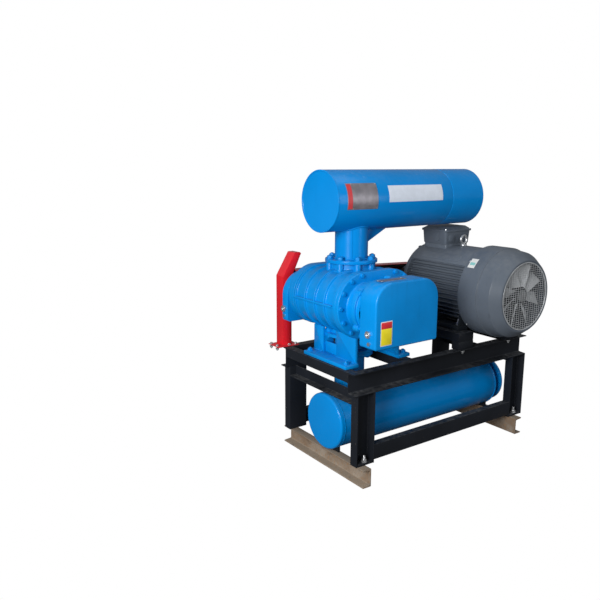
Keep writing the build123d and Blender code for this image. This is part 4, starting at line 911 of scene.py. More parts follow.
def makeNeck():
    # a turned flange and pipe, with a weld that follows the silencer's round underside
    p = pipework
    low = nodeBox("inlet_neck")[0]
    top = nodeMiddle("inlet_silencer")[2]
    form = Form()
    profile = fillet([(0, 0.10), (0, p["flange"]), (p["thick"], p["flange"]), (p["thick"], p["neck"] + 0.004),
                      (p["thick"] + 0.005, p["neck"]), (top - low[2] - 0.10, p["neck"])],
                     [0, 0.0015, 0.0025, 0.002, 0.003, 0], False, 4)
    form.lathe(profile, (blowerX, casingY, low[2]), "z", 96, (False, False))
    beadRing(form, (blowerX, casingY, low[2] + p["thick"] + 0.003), (0, 0, 1), p["neck"] + 0.004)
    radius = (nodeBox("inlet_silencer")[1][2] - nodeBox("inlet_silencer")[0][2]) / 2
    turn = np.linspace(0, 2 * pi, 96, endpoint=False)
    weld = p["weld"]
    path = np.column_stack((blowerX + weld * np.cos(turn), casingY + weld * np.sin(turn),
                            top - np.sqrt(radius ** 2 - (weld * np.sin(turn)) ** 2) - 0.001))
    form.tube(path, 0.0042, 8, True)
    reach, turn = p["seam"]
    heights = np.linspace(low[2] + 0.022, top - 0.145, 22)
    seam = [spot(-reach * cos(turn), -reach * sin(turn), z) for z in heights]
    form.tube(np.array(seam) + np.array([(0.0004 * sin(k * 2.1), 0, 0) for k in range(22)]), 0.0022, 6)
    under = top - radius
    gusset = fillet([(blowerX + 0.086, low[2] + 0.086), (blowerX + 0.250, under + 0.004),
                     (blowerX + 0.310, under + 0.022), (blowerX + 0.086, under + 0.035)], 0.003, True, 2)
    plateForm(form, gusset, casingY - 0.005, casingY + 0.005, "y", 0.001)
    piece("inletNeck", form, "blue_paint", stands=("inlet_neck",))
    bolts = Form()
    face = low[2] + p["thick"]
    for k, (dx, dy) in enumerate(circleSpots(p["circle"])):
        bolts.bolt((blowerX + dx, casingY + dy, face), (0, 0, 1), p["bolt"], head=0.014, stud=0.0045,
                   turn=k * 1.1)
    port = nodeBox("rotor_casing")[0][2] - p["thick"]
    for k, (dx, dy) in enumerate(circleSpots(p["circle"])):
        bolts.bolt((blowerX + dx, casingY + dy, port), (0, 0, -1), p["bolt"], head=0.012, stud=0.003,
                   turn=k * 0.7)
    collar = nodeBox("left_blower_foot")[0][2] + 0.020
    for k, (dx, dy) in enumerate(circleSpots(p["collarCircle"])):
        bolts.bolt((blowerX + dx, casingY + dy, collar + 0.018), (0, 0, 1), 0.0135, head=0.008, turn=k)
        bolts.bolt((blowerX + dx, casingY + dy, collar - 0.018), (0, 0, -1), 0.0135, head=0.010, turn=k)
    piece("portBolts", bolts, "castBlue", stands=("port_bolts",))


# plates: first and last place along X from the blower's middle, lowest and highest angle above the side
silencer = {"count": 160, "metalPlate": (-0.160, 0.043, -13.5, 35), "redStrip": (-0.157, -0.128, -12, 33.5),
            "whitePlate": (0.122, 0.524, -2.5, 29), "rivetX": (-0.122, 0.038), "intake": 0.0585, "bar": 0.0128}


def makeInletSilencer():
    # turned shell and filter head; a plate's points lie at angles round the shell's axis
    s = silencer
    low, high = nodeBox("inlet_silencer")
    farEnd = nodeBox("filter_head")[1][0]
    radius = (high[2] - low[2]) / 2
    middle = (0.0, (low[1] + high[1]) / 2, (low[2] + high[2]) / 2)
    x0 = low[0]
    form = Form()
    profile = fillet([(x0 + 0.0045, 0.0), (x0 + 0.0045, radius - 0.009), (x0, radius - 0.006), (x0, radius),
                      (x0 + 0.0045, radius), (x0 + 0.0055, radius - 0.0032), (x0 + 0.0085, radius - 0.0032),
                      (x0 + 0.0095, radius - 0.0006), (high[0] - 0.003, radius - 0.0006),
                      (high[0], radius - 0.003)],
                     [0, 0.003, 0.001, 0.0015, 0.001, 0.0006, 0.0006, 0.001, 0.002, 0], False, 3)
    form.lathe(profile, (0.0, middle[1], middle[2]), (1, 0, 0), s["count"], (False, False))
    beadRing(form, (x0 + 0.007, middle[1], middle[2]), (1, 0, 0), radius - 0.0028, 0.0024, 220, 0.0004)
    piece("inletSilencer", form, "blue_paint", stands=("inlet_silencer",))
    head = Form()
    x0 = high[0]
    profile = fillet([(x0, radius - 0.003), (x0 + 0.003, radius - 0.0002), (farEnd - 0.005, radius - 0.0002),
                      (farEnd - 0.0045, radius), (farEnd, radius), (farEnd, radius - 0.006),
                      (farEnd - 0.004, radius - 0.009), (farEnd - 0.004, 0.062), (farEnd - 0.001, 0.060),
                      (farEnd - 0.012, 0.058), (farEnd - 0.08, 0.058)],
                     [0, 0.002, 0.0004, 0.0004, 0.001, 0.001, 0.003, 0.002, 0.002, 0.002, 0], False, 3)
    head.lathe(profile, (0.0, middle[1], middle[2]), (1, 0, 0), s["count"], (False, False))
    # bars of the intake opening
    for k in range(-4, 5):
        offset = s["bar"] * k
        reach = np.sqrt(s["intake"] ** 2 - offset ** 2)
        head.tube([(farEnd - 0.007, middle[1] + way * reach, middle[2] + offset) for way in (-1, 1)], 0.0014, 8)
    piece("filterHead", head, "dark_paint", stands=("filter_head",))
    plates = Form()

    def onShell(x, angle, lift):
        # angle above the side and lift off the shell, turned into a place
        return x, middle[1] - (radius + lift) * cos(angle), middle[2] + (radius + lift) * sin(angle)

    # thin plates bent round the shell
    for kind, (name, lift) in enumerate((("metalPlate", 0.0010), ("redStrip", 0.0013), ("whitePlate", 0.0009))):
        plates.kind = kind
        x0, x1, lowest, highest = s[name]
        turn = np.linspace(radians(lowest), radians(highest), 14)
        plates.grid([[onShell(blowerX + x, a, lift) for a in turn]
                     + [onShell(blowerX + x, a, lift - 0.0011) for a in turn][::-1] for x in (x0, x1)],
                    True, False, True, True)
    plates.kind = 3
    for x in s["rivetX"]:
        for a in map(radians, s["redStrip"][2:]):
            plates.lathe([(0, 0.0032), (0.001, 0.0028), (0.0016, 0.001)], onShell(blowerX + x, a, 0.001),
                         (0, -cos(a), sin(a)), 12)
    piece("silencerPlates", plates, ("plateMetal", "plateRed", "plateWhite", "zinc"),
          angle=32)


discharge = {"flange": 0.1425, "circle": 0.120, "hole": 0.011, "bore": 0.075, "neck": 0.090, "plate": 0.020}


def makeDischarge():
    d = discharge
    low, high = nodeBox("discharge_silencer")
    out = nodeBox("discharge_outlet")
    radius = (high[2] - low[2]) / 2 - 0.002
    y = (low[1] + high[1]) / 2
    z = (low[2] + high[2]) / 2
    x0 = low[0]
    form = Form()
    profile = fillet([(x0, 0.0), (x0, radius + 0.002), (x0 + 0.026, radius + 0.002), (x0 + 0.0275, radius),
                      (high[0], radius)], [0, 0.021, 0.0015, 0.001, 0], False, 8)
    form.lathe(profile, (0.0, y, z), (1, 0, 0), 160, (False, False))
    beadRing(form, (x0 + 0.029, y, z), (1, 0, 0), radius + 0.0006, 0.0024, 220, 0.0004)
    piece("dischargeShell", form, "blue_paint", stands=("discharge_silencer",))
    end = out[1][0] - 0.0003
    start = high[0]
    form = Form()
    profile = fillet([(start, 0.10), (start, radius + 0.003), (start + 0.012, radius + 0.003),
                      (start + 0.012, 0.1185),
                      (end - d["plate"], d["neck"]), (end - d["plate"], d["flange"]), (end, d["flange"]),
                      (end, d["bore"]), (start + 0.01, d["bore"])],
                     [0, 0.002, 0.003, 0.004, 0.004, 0.001, 0.0015, 0.001, 0], False, 4)
    form.lathe(profile, (0.0, y, z), (1, 0, 0), 128, (False, False))
    beadRing(form, (start + 0.014, y, z), (1, 0, 0), 0.1195, 0.003, 160, 0.0005)
    form.kind = 1
    # thin near-black discs on the flange face stand in for the bolt holes: painted shade
    for dy, dz in circleSpots(d["circle"]):
        form.lathe([(0, d["hole"]), (0.0001, d["hole"])], (end + 0.0001, y + dy, z + dz), (1, 0, 0), 24)
    piece("dischargeEnd", form, ("blue_paint", "hole"), stands=("discharge_outlet",))
    low, high = nodeBox("outlet_pipe")
    form = Form()
    foot = nodeBox("left_blower_foot")[0][2] + 0.020
    r, root, collar = pipework["pipe"], pipework["collarRoot"], pipework["collar"]
    profile = [(low[2], r)]
    for a, b, wide, under, over in ((foot - 0.018, foot - 0.0005, collar, r, root),
                                    (foot + 0.0005, foot + 0.018, collar, root, r),
                                    (high[2] - 0.018, high[2], pipework["flange"], r, r)):
        profile += [(a, under), (a, wide), (b, wide), (b, over)]
    radii = [0] + [0.001, 0.0015, 0.0015, 0.001] * 3
    form.lathe(fillet(profile, radii, False, 3), (blowerX, casingY, 0.0), "z", 96, (False, False))
    piece("outletPipe", form, "blue_paint", stands=("outlet_pipe",))


makeGearEnd()
makeGearCover()
makeCoverBolts()
makeDriveEnd()
makeFeet()
print("blower done")
makeNeck()
makeInletSilencer()
makeDischarge()
print("pipework done")


# motor: finned housing, terminal box, cowl with its grille and fan

motorSizes = {"tube": 0.206, "body": 0.237, "fins": 12, "pitch": 0.027, "topFin": 0.146, "thick": 0.0052,
              "shoulder": 0.158, "cowlScrews": 0.2445, "wirePitch": 0.0118, "uprightPitch": 0.0195, "blades": 8,
              "footSpread": 0.178}


def makeMotor():
    m = motorSizes
    low, high = nodeBox("motor_housing")
    y0, y1 = low[1], high[1]
    z = shaftHeight
    form = Form()
    profile = fillet([(y0, 0.181), (y0, m["body"]), (y0 + 0.016, m["body"]), (y0 + 0.018, m["tube"]),
                      (y1 - 0.016, m["tube"]), (y1 - 0.014, m["body"]), (y1, m["body"]), (y1, 0.181)],
                     [0, 0.002, 0.003, 0.004, 0.004, 0.003, 0.002, 0], False, 3)
    form.lathe([(a - y0, r) for a, r in profile], (motorX, y0, z), "y", 128, (False, False))
    a, b = y0 + 0.014, y1 - 0.004
    for k in range(m["fins"]):
        height = m["topFin"] - m["pitch"] * k
        for way in (-1, 1):
            reach = np.sqrt(m["body"] ** 2 - height ** 2) - 0.0015
            root = np.sqrt(m["tube"] ** 2 - height ** 2) - 0.004
            thick = m["thick"]
            section = fillet([(root, height - thick * 0.75), (reach, height - thick * 0.42),
                              (reach, height + thick * 0.42), (root, height + thick * 0.75)],
                             [0, 0.0018, 0.0018, 0], True, 3)
            ends = ((a, 0.010), (a + 0.006, 0.002), (a + 0.014, 0.0), (b - 0.014, 0.0), (b - 0.006, 0.002),
                    (b, 0.010))
            across, up = section.T
            form.grid([levelRow(np.column_stack((motorX + way * np.minimum(across, reach - drop), z + up)), y)
                       for y, drop in ends], True, False, True, True)
    # smooth shoulder that carries the terminal box
    turn = np.linspace(-0.89, 0.89, 60)
    line = [(m["body"] * sin(t), m["body"] * cos(t)) for t in turn]
    edge = 0.0035
    outline = fillet([(line[0][0], m["shoulder"] - 0.006)] + line + [(line[-1][0], m["shoulder"] - 0.006)],
                     [0.004, 0.006] + [0] * 58 + [0.006, 0.004], True, 4)
    outline = np.column_stack((outline[:, 0] + motorX, outline[:, 1] + z))
    plateForm(form, outline, y0 + 0.010, y1 - 0.002, "y", edge)
    # raised rounded pads on both flanks of the shoulder
    for way in (-1, 1):
        rows = []
        for lift, grow in ((-0.002, 0.0), (0.0012, 0.0), (0.0030, -0.0025), (0.0034, -0.006)):
            corners = oblong(0.575, a + 0.075, 0.80, b - 0.060)
            flat = fillet([((t - 0.69) * m["body"], y) for t, y in corners], 0.012, True, 4)
            flat = shrink(flat, -grow)
            angle = 0.69 + flat[:, 0] / m["body"]
            reach = m["body"] + lift
            x = motorX + way * reach * np.sin(angle)
            rows.append(np.column_stack((x, flat[:, 1], z + reach * np.cos(angle))))
        form.grid(rows, True, False, False, True)
    # base that the terminal box stands on
    box = nodeBox("terminal_box")
    near, far = box[0] + (0.014, 0.008, 0.0005), box[1] - (0.014, 0.008, 0)
    plateForm(form, fillet(oblong(near[0], near[1], far[0], far[1]), 0.012, True, 4), z + 0.200, near[2],
              "z", 0.001)
    piece("motorBody", form, "grey_paint", stands=("motor_housing",), angle=36)


def makeTerminalBox():
    # rounded outlines stacked in height, each grown or drawn in by a margin
    low, high = nodeBox("terminal_box")
    lid = nodeBox("terminal_lid")
    middle = ((low + high) / 2)[:2]
    half = ((high - low) / 2)[:2]

    def ring(z, grow, corner):
        h = half + grow
        flat = fillet(oblong(-h[0], -h[1], h[0], h[1]), corner, True, 5)
        return np.column_stack((flat + middle, np.full(len(flat), z)))

    form = Form()
    rows = [ring(low[2], -0.0085, 0.014), ring(low[2] + 0.003, -0.0062, 0.015),
            ring(high[2] - 0.004, -0.0008, 0.017),
            ring(high[2], -0.0008, 0.017)]
    form.grid(rows, True, False, True, True)
    left = middle[0] - half[0]
    form.box((left + 0.030, low[1] + 0.001, low[2] + 0.016),
             (left + 0.085, low[1] + 0.006, low[2] + 0.055), 0.002)
    for way in (-1, 1):
        centre = (middle[0] + way * (half[0] - 0.006), middle[1] + 0.03 * way, low[2] + 0.034)
        line = fillet([(0, 0.017), (0.006, 0.017), (0.006, 0.012), (0.0064, 0.002)], [0, 0.001, 0.001, 0],
                      False, 3)
        form.lathe(line, centre, (way, 0, 0), 28)
    piece("terminalBox", form, "grey_paint", stands=("terminal_box",), angle=36)
    form = Form()
    base, top = lid[0][2], lid[1][2]
    rows = [ring(base + 0.0002, 0.0040, 0.016), ring(base + 0.0015, 0.0058, 0.018),
            ring(base + 0.0105, 0.0058, 0.018),
            ring(base + 0.0125, 0.0040, 0.017), ring(base + 0.014, 0.0005, 0.016),
            ring(top - 0.004, -0.0165, 0.013),
            ring(top - 0.001, -0.0200, 0.012), ring(top, -0.0240, 0.011)]
    form.grid(rows, True, False, True, True)
    form.kind = 1
    for dx in (-1, 1):
        for dy in (-1, 1):
            place = (middle[0] + dx * (half[0] - 0.006), middle[1] + dy * (half[1] - 0.006), base + 0.0125)
            form.bolt(place, (0, 0, 1), 0.0065, head=0.004, washer=False, turn=dx + dy)
    piece("terminalLid", form, ("grey_paint", "zinc"), stands=("terminal_lid",), angle=36)


def makeShields():
    # turned end shields with a ring of bolts
    m = motorSizes
    low, high = nodeBox("motor_housing")
    y0, y1 = low[1], high[1]
    back = nodeBox("end_shields")[1][1]
    form = Form()
    profile = fillet([(y0, 0.10), (y0, m["body"] - 0.0022), (y0 - 0.016, m["body"] - 0.0022),
                      (y0 - 0.0165, 0.100),
                      (y0 - 0.024, 0.098), (y0 - 0.024, 0.0352)], [0, 0.001, 0.003, 0.004, 0.002, 0], False, 3)
    form.lathe([(a - y0, r) for a, r in profile], (motorX, y0, shaftHeight), "y", 96, (False, False))
    profile = fillet([(y1, 0.229), (y1 + 0.018, 0.229), (y1 + 0.019, 0.220), (y1 + 0.062, 0.184),
                      (y1 + 0.062, 0.112),
                      (back, 0.110), (back, 0.0352)], [0, 0.003, 0.002, 0.006, 0.006, 0.002, 0], False, 4)
    form.lathe([(a - y1, r) for a, r in profile], (motorX, y1, shaftHeight), "y", 96, (False, False))
    for k in range(8):
        turn = 2 * pi * (k + 0.5) / 8
        place = np.array((motorX + 0.222 * cos(turn), y1 + 0.018, shaftHeight + 0.222 * sin(turn)))
        form.bolt(place, (0, 1, 0), 0.010, head=0.007, turn=k)
    piece("motorShields", form, "grey_paint", stands=("end_shields",), angle=36)


def makeCowl():
    # pressed sheet with two rolled steps
    m = motorSizes
    y0 = nodeBox("motor_housing")[0][1]
    low, high = nodeBox("fan_cowl")
    front = low[1]
    big = (high[2] - low[2]) / 2
    form = Form()
    profile = [(y0 + 0.006, big - 0.003), (y0 + 0.006, big), (y0 - 0.120, big), (y0 - 0.124, big - 0.0045),
               (y0 - 0.130, big - 0.0055), (y0 - 0.199, big - 0.0150), (y0 - 0.203, big - 0.0180),
               (front + 0.006, big - 0.0505), (front, big - 0.056), (front, big - 0.065),
               (front + 0.004, big - 0.065),
               (front + 0.0045, big - 0.056), (y0 - 0.200, big - 0.019)]
    radii = [0, 0.001, 0.004, 0.003, 0.004, 0.010, 0.008, 0.010, 0.004, 0.002, 0.001, 0.004, 0]
    profile = fillet(profile, radii, False, 5)
    form.lathe([(a - front, r) for a, r in profile], (motorX, front, shaftHeight), "y", 160, (False, False))
    beadRing(form, (motorX, y0 - 0.1215, shaftHeight), (0, 1, 0), big - 0.0016, 0.0016, 160, 0.0)
    for angle in (45, 135, 225, 315):
        turn = radians(angle)
        reach = m["cowlScrews"]
        place = np.array((motorX + reach * cos(turn), y0 - 0.008, shaftHeight + reach * sin(turn)))
        form.lathe([(0, 0.009), (0.010, 0.009)], place, (cos(turn), 0, sin(turn)), 16)
    piece("fanCowl", form, "grey_paint", stands=("fan_cowl",), angle=36)
    sticker = Form()
    turn = np.linspace(radians(36), radians(50), 8)
    reach = big + 0.0006
    a, b = y0 - 0.058, y0 - 0.012
    for kind, (p, q, s, t) in ((0, (a, b, 0, 8)), (1, (a + 0.006, b - 0.006, 2, 5))):
        sticker.kind = kind
        outer = reach + 0.0004 * kind
        around = [(outer, angle) for angle in turn[s:t]] + [(outer - 0.0006,
                                                             angle) for angle in turn[s:t][::-1]]
        sticker.grid([[(motorX - r * cos(angle), y, shaftHeight + r * sin(angle)) for r, angle in around]
                      for y in (p, q)],
                     True, False, True, True)
    piece("cowlSticker", sticker, ("stickerWhite", "stickerPale"), angle=32)


def makeGrille():
    # fine horizontal wires welded over a few uprights, held by a rolled rim
    m = motorSizes
    low, high = nodeBox("cowl_grille")
    form = Form()
    rim = (high[2] - low[2]) / 2
    middle = np.array((motorX, low[1] + 0.0022, shaftHeight))
    form.lathe(fillet([(0.0, rim - 0.007), (0.0, rim - 0.0005), (0.0034, rim - 0.0005), (0.0034, rim - 0.007)],
                      0.0012, True, 3), (motorX, low[1], shaftHeight), "y", 128, (False, False), True)
    pitch = m["wirePitch"]
    half = int((rim - 0.006) / pitch)
    for k in range(-half, half + 1):
        height = k * pitch
        reach = np.sqrt((rim - 0.003) ** 2 - height ** 2)
        form.tube([middle + (-reach, 0, height), middle + (reach, 0, height)], 0.00125, 6)
    for k in range(-9, 10):
        across = k * m["uprightPitch"]
        reach = np.sqrt((rim - 0.003) ** 2 - across ** 2)
        form.tube([middle + (across, 0.0019, -reach), middle + (across, 0.0019, reach)], 0.0011, 6)
    piece("cowlGrille", form, "wire", stands=("cowl_grille",), angle=50)


def makeFan():
    # broad pitched blades round a flat hub
    m = motorSizes
    low, high = nodeBox("cooling_fan")
    centre = np.array((motorX, 0.0, shaftHeight))
    form = Form()
    form.kind = 1
    hub = fillet([(low[1], 0.0), (low[1], 0.024), (low[1] + 0.003, 0.026), (low[1] + 0.006, 0.050),
                  (low[1] + 0.052, 0.056), (low[1] + 0.055, 0.118), (low[1] + 0.059, 0.118),
                  (low[1] + 0.059, 0.034)],
                 [0, 0.002, 0.003, 0.006, 0.006, 0.002, 0.001, 0], False, 4)
    form.lathe([(a - low[1], r) for a, r in hub], (motorX, low[1], shaftHeight), "y", 64, (False, False))
    form.bolt((motorX, low[1] + 0.0008, shaftHeight), (0, -1, 0), 0.001, head=0.0005, washer=False)
    form.kind = 0
    span = (high[2] - low[2]) / 2 - 0.002
    # across each blade: one face, then back along the other, which lies a little further on
    t = np.concatenate((np.linspace(-1, 1, 8), np.linspace(1, -1, 8)))[:, None]
    thick = np.repeat((0, 0.003), 8)[:, None]
    rise = low[1] + 0.029 + thick + 0.021 * t + 0.003 * (1 - t ** 2)
    for k in range(m["blades"]):
        turn = 2 * pi * k / m["blades"] + radians(12)
        out = np.array((cos(turn), 0, -sin(turn)))
        side = np.array((sin(turn), 0, cos(turn)))
        rows = []
        for s in np.linspace(0, 1, 9):
            reach = 0.047 + (span - 0.047) * s
            wide = 0.020 + 0.014 * s
            rows.append(centre + out * (reach - 0.004 * t ** 2 * s) + side * (t * wide - thick * 0.4)
                        + rise * (0, 1, 0))
        form.grid(rows, True, False, True, True)
    piece("coolingFan", form, ("fan_plastic", "fanHub"), body="motor_shaft", stands=("cooling_fan",))


def makeEye():
    # a turned base with a ring on it
    low, high = nodeBox("lifting_eye")
    middle = (low + high) / 2
    form = Form()
    base = [(0, 0.0), (0, 0.020), (0.008, 0.020), (0.009, 0.010), (0.016, 0.0085)]
    form.lathe(fillet(base, [0, 0.001, 0.003, 0.002, 0], False, 3),
               (middle[0], middle[1], high[2] - 0.0765 + 0.008), "z", 32)
    ring = high[2] - 0.0315
    turn = np.linspace(0, 2 * pi, 48, endpoint=False)
    path = [(middle[0] + 0.024 * cos(t), middle[1], ring + 0.024 * sin(t)) for t in turn]
    form.tube(path, 0.0074, 14, True)
    piece("liftingEye", form, "zinc", stands=("lifting_eye",))


def makeMotorFeet():
    low, high = nodeBox("motor_feet")
    form = Form()
    floor = low[2]
    for way in (-1, 1):
        x = motorX + way * motorSizes["footSpread"]
        form.box((x - 0.042, low[1], floor), (x + 0.042, high[1], floor + 0.026), 0.003)
        for y in (low[1] + 0.008, high[1] - 0.022, (low[1] + high[1]) / 2 - 0.006):
            inner, outer = motorX + way * 0.075, x + way * 0.024
            line = [(outer, floor + 0.024), (x + way * 0.010, floor + 0.112),
                    (motorX + way * 0.150, floor + 0.140),
                    (inner, floor + 0.050), (x - way * 0.040, floor + 0.024)]
            reach = []
            for px, pz in line:
                dx, dz = px - motorX, pz - shaftHeight
                size = hypot(dx, dz)
                if size < 0.2065:
                    dx, dz = dx * 0.2065 / size, dz * 0.2065 / size
                reach.append((motorX + dx, shaftHeight + dz))
            plateForm(form, fillet(reach, 0.0025, True, 2), y, y + 0.012, "y", 0.002)
    # the feet take the darkened copy of the motor grey: painted shade under the motor
    piece("motorFeet", form, "darkMotor", stands=("motor_feet",), angle=36)
    bolts = Form()
    for way in (-1, 1):
        x = motorX + way * motorSizes["footSpread"]
        for y in (low[1] + 0.034, high[1] - 0.034):
            bolts.bolt((x, y, floor + 0.026), (0, 0, 1), 0.015, head=0.013, stud=0.020, turn=way * 0.5)
            bolts.bolt((x, y, floor - 0.009), (0, 0, -1), 0.015, head=0.011, turn=0.2)
    y0 = nodeBox("motor_housing")[0][1]
    for angle in (45, 135, 225, 315):
        turn = radians(angle)
        place = (motorX + 0.2572 * cos(turn), y0 - 0.008, shaftHeight + 0.2572 * sin(turn))
        dome = fillet([(0, 0.0), (0, 0.0068), (0.0030, 0.0060), (0.0048, 0.0)], [0, 0.001, 0.002, 0], False, 3)
        bolts.lathe(dome, place, (cos(turn), 0, sin(turn)), 20)
    piece("motorBolts", bolts, "zinc", stands=("motor_bolts",))


# steel frame: rolled channels with soft toes and corners, slides, blocks and skids

frameSizes = {"height": 0.120, "flange": 0.053, "web": 0.006, "toe": 0.008}
slideNames = ("left_motor_slide", "right_motor_slide")
frameCorners = (("leg_front_left", -1), ("leg_front_right", -1), ("leg_back_left", 1), ("leg_back_right", 1))


def channelSection(height, flange, web, toe):
    # web along the first axis from zero, flanges along the second
    half = height / 2
    points = [(0, -half), (flange, -half), (flange, -half + toe * 0.75), (web, -half + toe * 1.15),
              (web, half - toe * 1.15), (flange, half - toe * 0.75), (flange, half), (0, half)]
    return fillet(points, [0.0022, 0.0010, toe * 0.45, toe * 0.8, toe * 0.8, toe * 0.45, 0.0010, 0.0022],
                  True, 4)


def makeBeams():
    # the channel section carried along X
    full = channelSection(**frameSizes)
    form = Form()
    for name, side in (("front_beam", -1), ("back_beam", 1)):
        low, high = nodeBox(name)
        web = high[1] if side < 0 else low[1]
        form.sweep(full, (low[0], web, (low[2] + high[2]) / 2), (high[0] - low[0], 0, 0), (0, side, 0),
                   (0, 0, 1))
    piece("longBeams", form, "black_paint", stands=("front_beam", "back_beam"), angle=36)


def makeLegs():
    # the channel section carried upwards, with a foot plate and its welds
    full = channelSection(**frameSizes)
    form = Form()
    for name, side in frameCorners:
        low, high = nodeBox(name)
        web = high[1] if side < 0 else low[1]
        middle = (low[0] + high[0]) / 2
        form.sweep(full, (middle, web, low[2]), (0, 0, high[2] - low[2]), (0, side, 0), (1, 0, 0))
        y0, y1 = sorted((web + side * 0.006, web + side * 0.052))
        form.box((middle - 0.052, y0, low[2]), (middle + 0.052, y1, low[2] + 0.012), 0.0015)
        for x in (middle - 0.052, middle + 0.052):
            bead = [(x, y, low[2] + 0.013) for y in np.linspace(y0 + 0.003, y1 - 0.002, 10)]
            form.tube(bead, 0.0026, 6)
    piece("frameLegs", form, "black_paint",
          stands=("leg_front_left", "leg_front_right", "leg_back_left", "leg_back_right"),
          angle=36)


def makeCrossChannels():
    # a smaller channel section carried along Y
    low, high = nodeBox("end_channels")
    small = channelSection(high[2] - low[2], 0.050, 0.005, 0.0065)
    z = (low[2] + high[2]) / 2
    form = Form()
    form.sweep(small, (low[0], low[1], z), (0, high[1] - low[1], 0), (1, 0, 0), (0, 0, 1))
    form.sweep(small, (high[0], low[1], z), (0, high[1] - low[1], 0), (-1, 0, 0), (0, 0, 1))
    middle = nodeBox("mid_channel")
    form.sweep(small, (middle[0][0], low[1], z), (0, high[1] - low[1], 0), (1, 0, 0), (0, 0, 1))
    piece("crossChannels", form, "black_paint", stands=("end_channels", "mid_channel"),
          angle=36)


def makeTies():
    # an angle section carried along Y
    form = Form()
    low, high = nodeBox("low_ties")
    for way, edge in ((-1, low[0]), (1, high[0])):
        inner = edge - way * 0.050
        tall = high[2] - low[2]
        line = fillet([(0, 0), (0.050, 0), (0.050, 0.006), (0.006, 0.006), (0.006, tall), (0, tall)],
                      [0.003, 0.0008, 0.002, 0.004, 0.002, 0.0008], True, 3)
        form.sweep(line, (inner, low[1], low[2]), (0, high[1] - low[1], 0), (way, 0, 0), (0, 0, 1))
    piece("lowTies", form, "black_paint", stands=("low_ties",), angle=36)


def makeSideRails():
    # a shallow channel section carried along X
    form = Form()
    for name, side in (("front_side_rail", -1), ("back_side_rail", 1)):
        low, high = nodeBox(name)
        web = low[1] if side < 0 else high[1]
        section = channelSection(high[2] - low[2], 0.043, 0.005, 0.007)
        form.sweep(section, (low[0], web, (low[2] + high[2]) / 2), (high[0] - low[0], 0, 0), (0, -side, 0),
                   (0, 0, 1))
    piece("sideRails", form, "black_paint", stands=("front_side_rail", "back_side_rail"),
          angle=36)


def makeSkids():
    # channels lying along Y
    form = Form()
    low, high = nodeBox("skids")
    section = channelSection(high[2] - low[2], 0.054, 0.006, 0.0085)
    z = (low[2] + high[2]) / 2
    form.sweep(section, (low[0] + 0.054, low[1], z), (0, high[1] - low[1], 0), (-1, 0, 0), (0, 0, 1))
    form.sweep(section, (high[0] - 0.054, low[1], z), (0, high[1] - low[1], 0), (1, 0, 0), (0, 0, 1))
    piece("skidChannels", form, "rusty_steel", stands=("skids",), angle=36)


def makeSlides():
    # plain blocks with softened edges
    form = Form()
    for name in slideNames:
        form.box(*nodeBox(name), 0.003)
    blocks = nodeBox("slide_blocks")
    for name in slideNames:
        low, high = nodeBox(name)
        for y0, y1 in ((blocks[0][1], blocks[0][1] + 0.055), (blocks[1][1] - 0.055, blocks[1][1])):
            form.box((low[0], y0, blocks[0][2]), (high[0], y1, blocks[1][2] + 0.0005), 0.002)
    piece("motorSlides", form, "black_paint", stands=("left_motor_slide", "right_motor_slide", "slide_blocks"),
          angle=36)


def makeFrameBolts():
    bolts = Form()
    for name, side in frameCorners:
        low, high = nodeBox(name)
        y = low[1] + 0.021 if side < 0 else high[1] - 0.021
        place = ((low[0] + high[0]) / 2 + 0.008, y, low[2] + 0.012)
        bolts.bolt(place, (0, 0, 1), 0.0155, head=0.013, stud=0.019, turn=side * 0.3)
    piece("anchorBolts", bolts, "zinc", stands=("anchor_bolts",))
    bolts = Form()
    beam = nodeBox("front_beam")
    under = beam[1][2] - 0.008
    for name in slideNames:
        x = nodeMiddle(name)[0] - 0.005
        for side in (-1, 1):
            y = casingY + side * 0.308
            bolts.bolt((x, y, under), (0, 0, -1), 0.0125, head=0.011, stud=0.011, turn=side)
    foot = nodeBox("guard_cover")[0]
    sheet = beam[1][2] + 0.003
    near = foot[1] + 0.018
    for x, y in ((foot[0] + 0.0125, foot[1] + 0.034), (foot[0] + 0.0125, foot[1] + 0.098),
                 (foot[0] + 0.085, near),
                 (foot[0] + 0.130, near), (blowerX + 0.677, near), (blowerX + 0.709, near)):
        bolts.bolt((x, y, sheet), (0, 0, 1), 0.0095, head=0.007, stud=0.002, turn=x * 9)
        bolts.bolt((x, y, sheet - 0.011), (0, 0, -1), 0.0095, head=0.008, stud=0.006, turn=x * 5)
    piece("frameBolts", bolts, "zinc", stands=("frame_bolts",))


makeMotor()
makeTerminalBox()
makeShields()
makeCowl()
makeGrille()
makeFan()
makeEye()
makeMotorFeet()
print("motor done")
makeBeams()
makeLegs()
makeCrossChannels()
makeTies()
makeSideRails()
makeSkids()
makeSlides()
makeFrameBolts()
print("frame done")


# belt guard: a folded band up the near edge, a back sheet and a shallow rim round the belts

guardSizes = {"left": -0.230, "near": 0.325, "far": 0.400, "sheet": 0.003, "lip": 0.057, "shoulder": 1.017,
              "top": 1.150, "crown": 0.081, "tip": -0.106, "low": 0.800, "belts": 1.045, "motorEnd": 0.079}


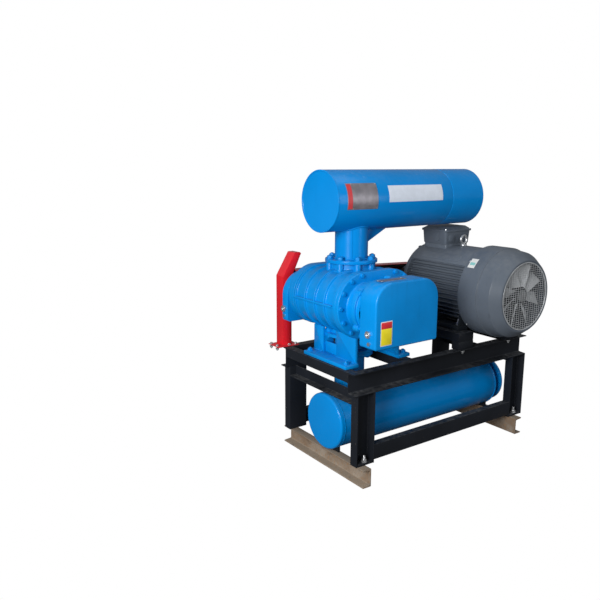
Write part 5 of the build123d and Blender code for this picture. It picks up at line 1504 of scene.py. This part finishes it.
def makeGuard():
    # the band's crest and a round end joined to one outline, given a rim and a back sheet
    s = guardSizes
    low, high = nodeBox("guard_cover")
    foot = low[2] + s["sheet"]
    near, far = casingY + s["near"], casingY + s["far"]
    left, inner = blowerX + s["left"], blowerX + s["left"] + s["lip"]
    tip, shoulder, top = blowerX + s["tip"], s["shoulder"], s["top"]
    crest = [(left, foot), (left, shoulder), (left + s["crown"], top), (tip - 0.008, top), (tip, top - 0.008),
             (tip - 0.005, top - 0.016)]
    crestCorners = [0.001, 0.008, 0.005, 0.003, 0.003, 0.003]
    turn = np.linspace(radians(86), radians(-94), 24)
    around = [(motorX + s["motorEnd"] * cos(t), shaftHeight + s["motorEnd"] * sin(t)) for t in turn]
    points = crest + [(inner + 0.020, s["belts"]), (tip + 0.061, s["belts"])] + around
    points += [(blowerX - 0.040, s["low"]), (inner, s["low"]), (inner, foot)]
    corners = crestCorners + [0.008, 0.02] + [0] * 24 + [0.02, 0.004, 0.001]
    outline = fillet(points, corners, True, 4)[::-1]
    inside = shrink(outline, s["sheet"])
    form = Form()
    rows = []
    for y, inset in ((near + 0.001, 0.0), (far - 0.0015, 0.0), (far - 0.0004, 0.0004), (far, 0.0015)):
        rows.append(levelRow(shrink(outline, inset) if inset else outline, y))
    rows += [levelRow(inside, y) for y in (far - 0.0016, near + 0.001)]
    form.grid(rows, True, True)
    plateForm(form, shrink(outline, 0.001), far - s["sheet"], far - 0.0002, "y", 0.0005)
    lip = crest + [(inner, shoulder - 0.009), (inner, foot)]
    lip = fillet(lip, crestCorners + [0.008, 0.001], True, 4)[::-1]
    plateForm(form, lip, near, near + s["sheet"], "y", 0.0012)
    form.box((low[0], low[1], low[2] + 0.0001), (inner + 0.034, high[1], foot), 0.0012)
    # weld along the band's foot
    for y in (near, far):
        bead = [(x, y, foot + 0.001) for x in np.linspace(left + 0.002, inner - 0.002, 12)]
        form.tube(bead, 0.0022, 6)
    piece("beltGuard", form, "red_paint", stands=("guard_cover",), angle=36)


makeGuard()
print("guard done")


castNodes = ("gear_end_plate", "gear_cover", "drive_end_plate", "drive_end_cover", "seal_cap",
             "left_blower_foot",
             "right_blower_foot")
plainFittings = ("sight_glasses", "drain_plugs", "breather")
slotOf = {item["node"]: item["material_slot"] for item in frame["record"]["subparts"]}
for name, thing in frame["nodes"].items():
    finish = "castBlue" if name in castNodes else "zinc" if name in plainFittings else slotOf[name]
    thing.data.materials.clear()
    thing.data.materials.append(finishes[finish])
    thing.data.polygons.foreach_set("material_index", np.zeros(len(thing.data.polygons), np.int32))
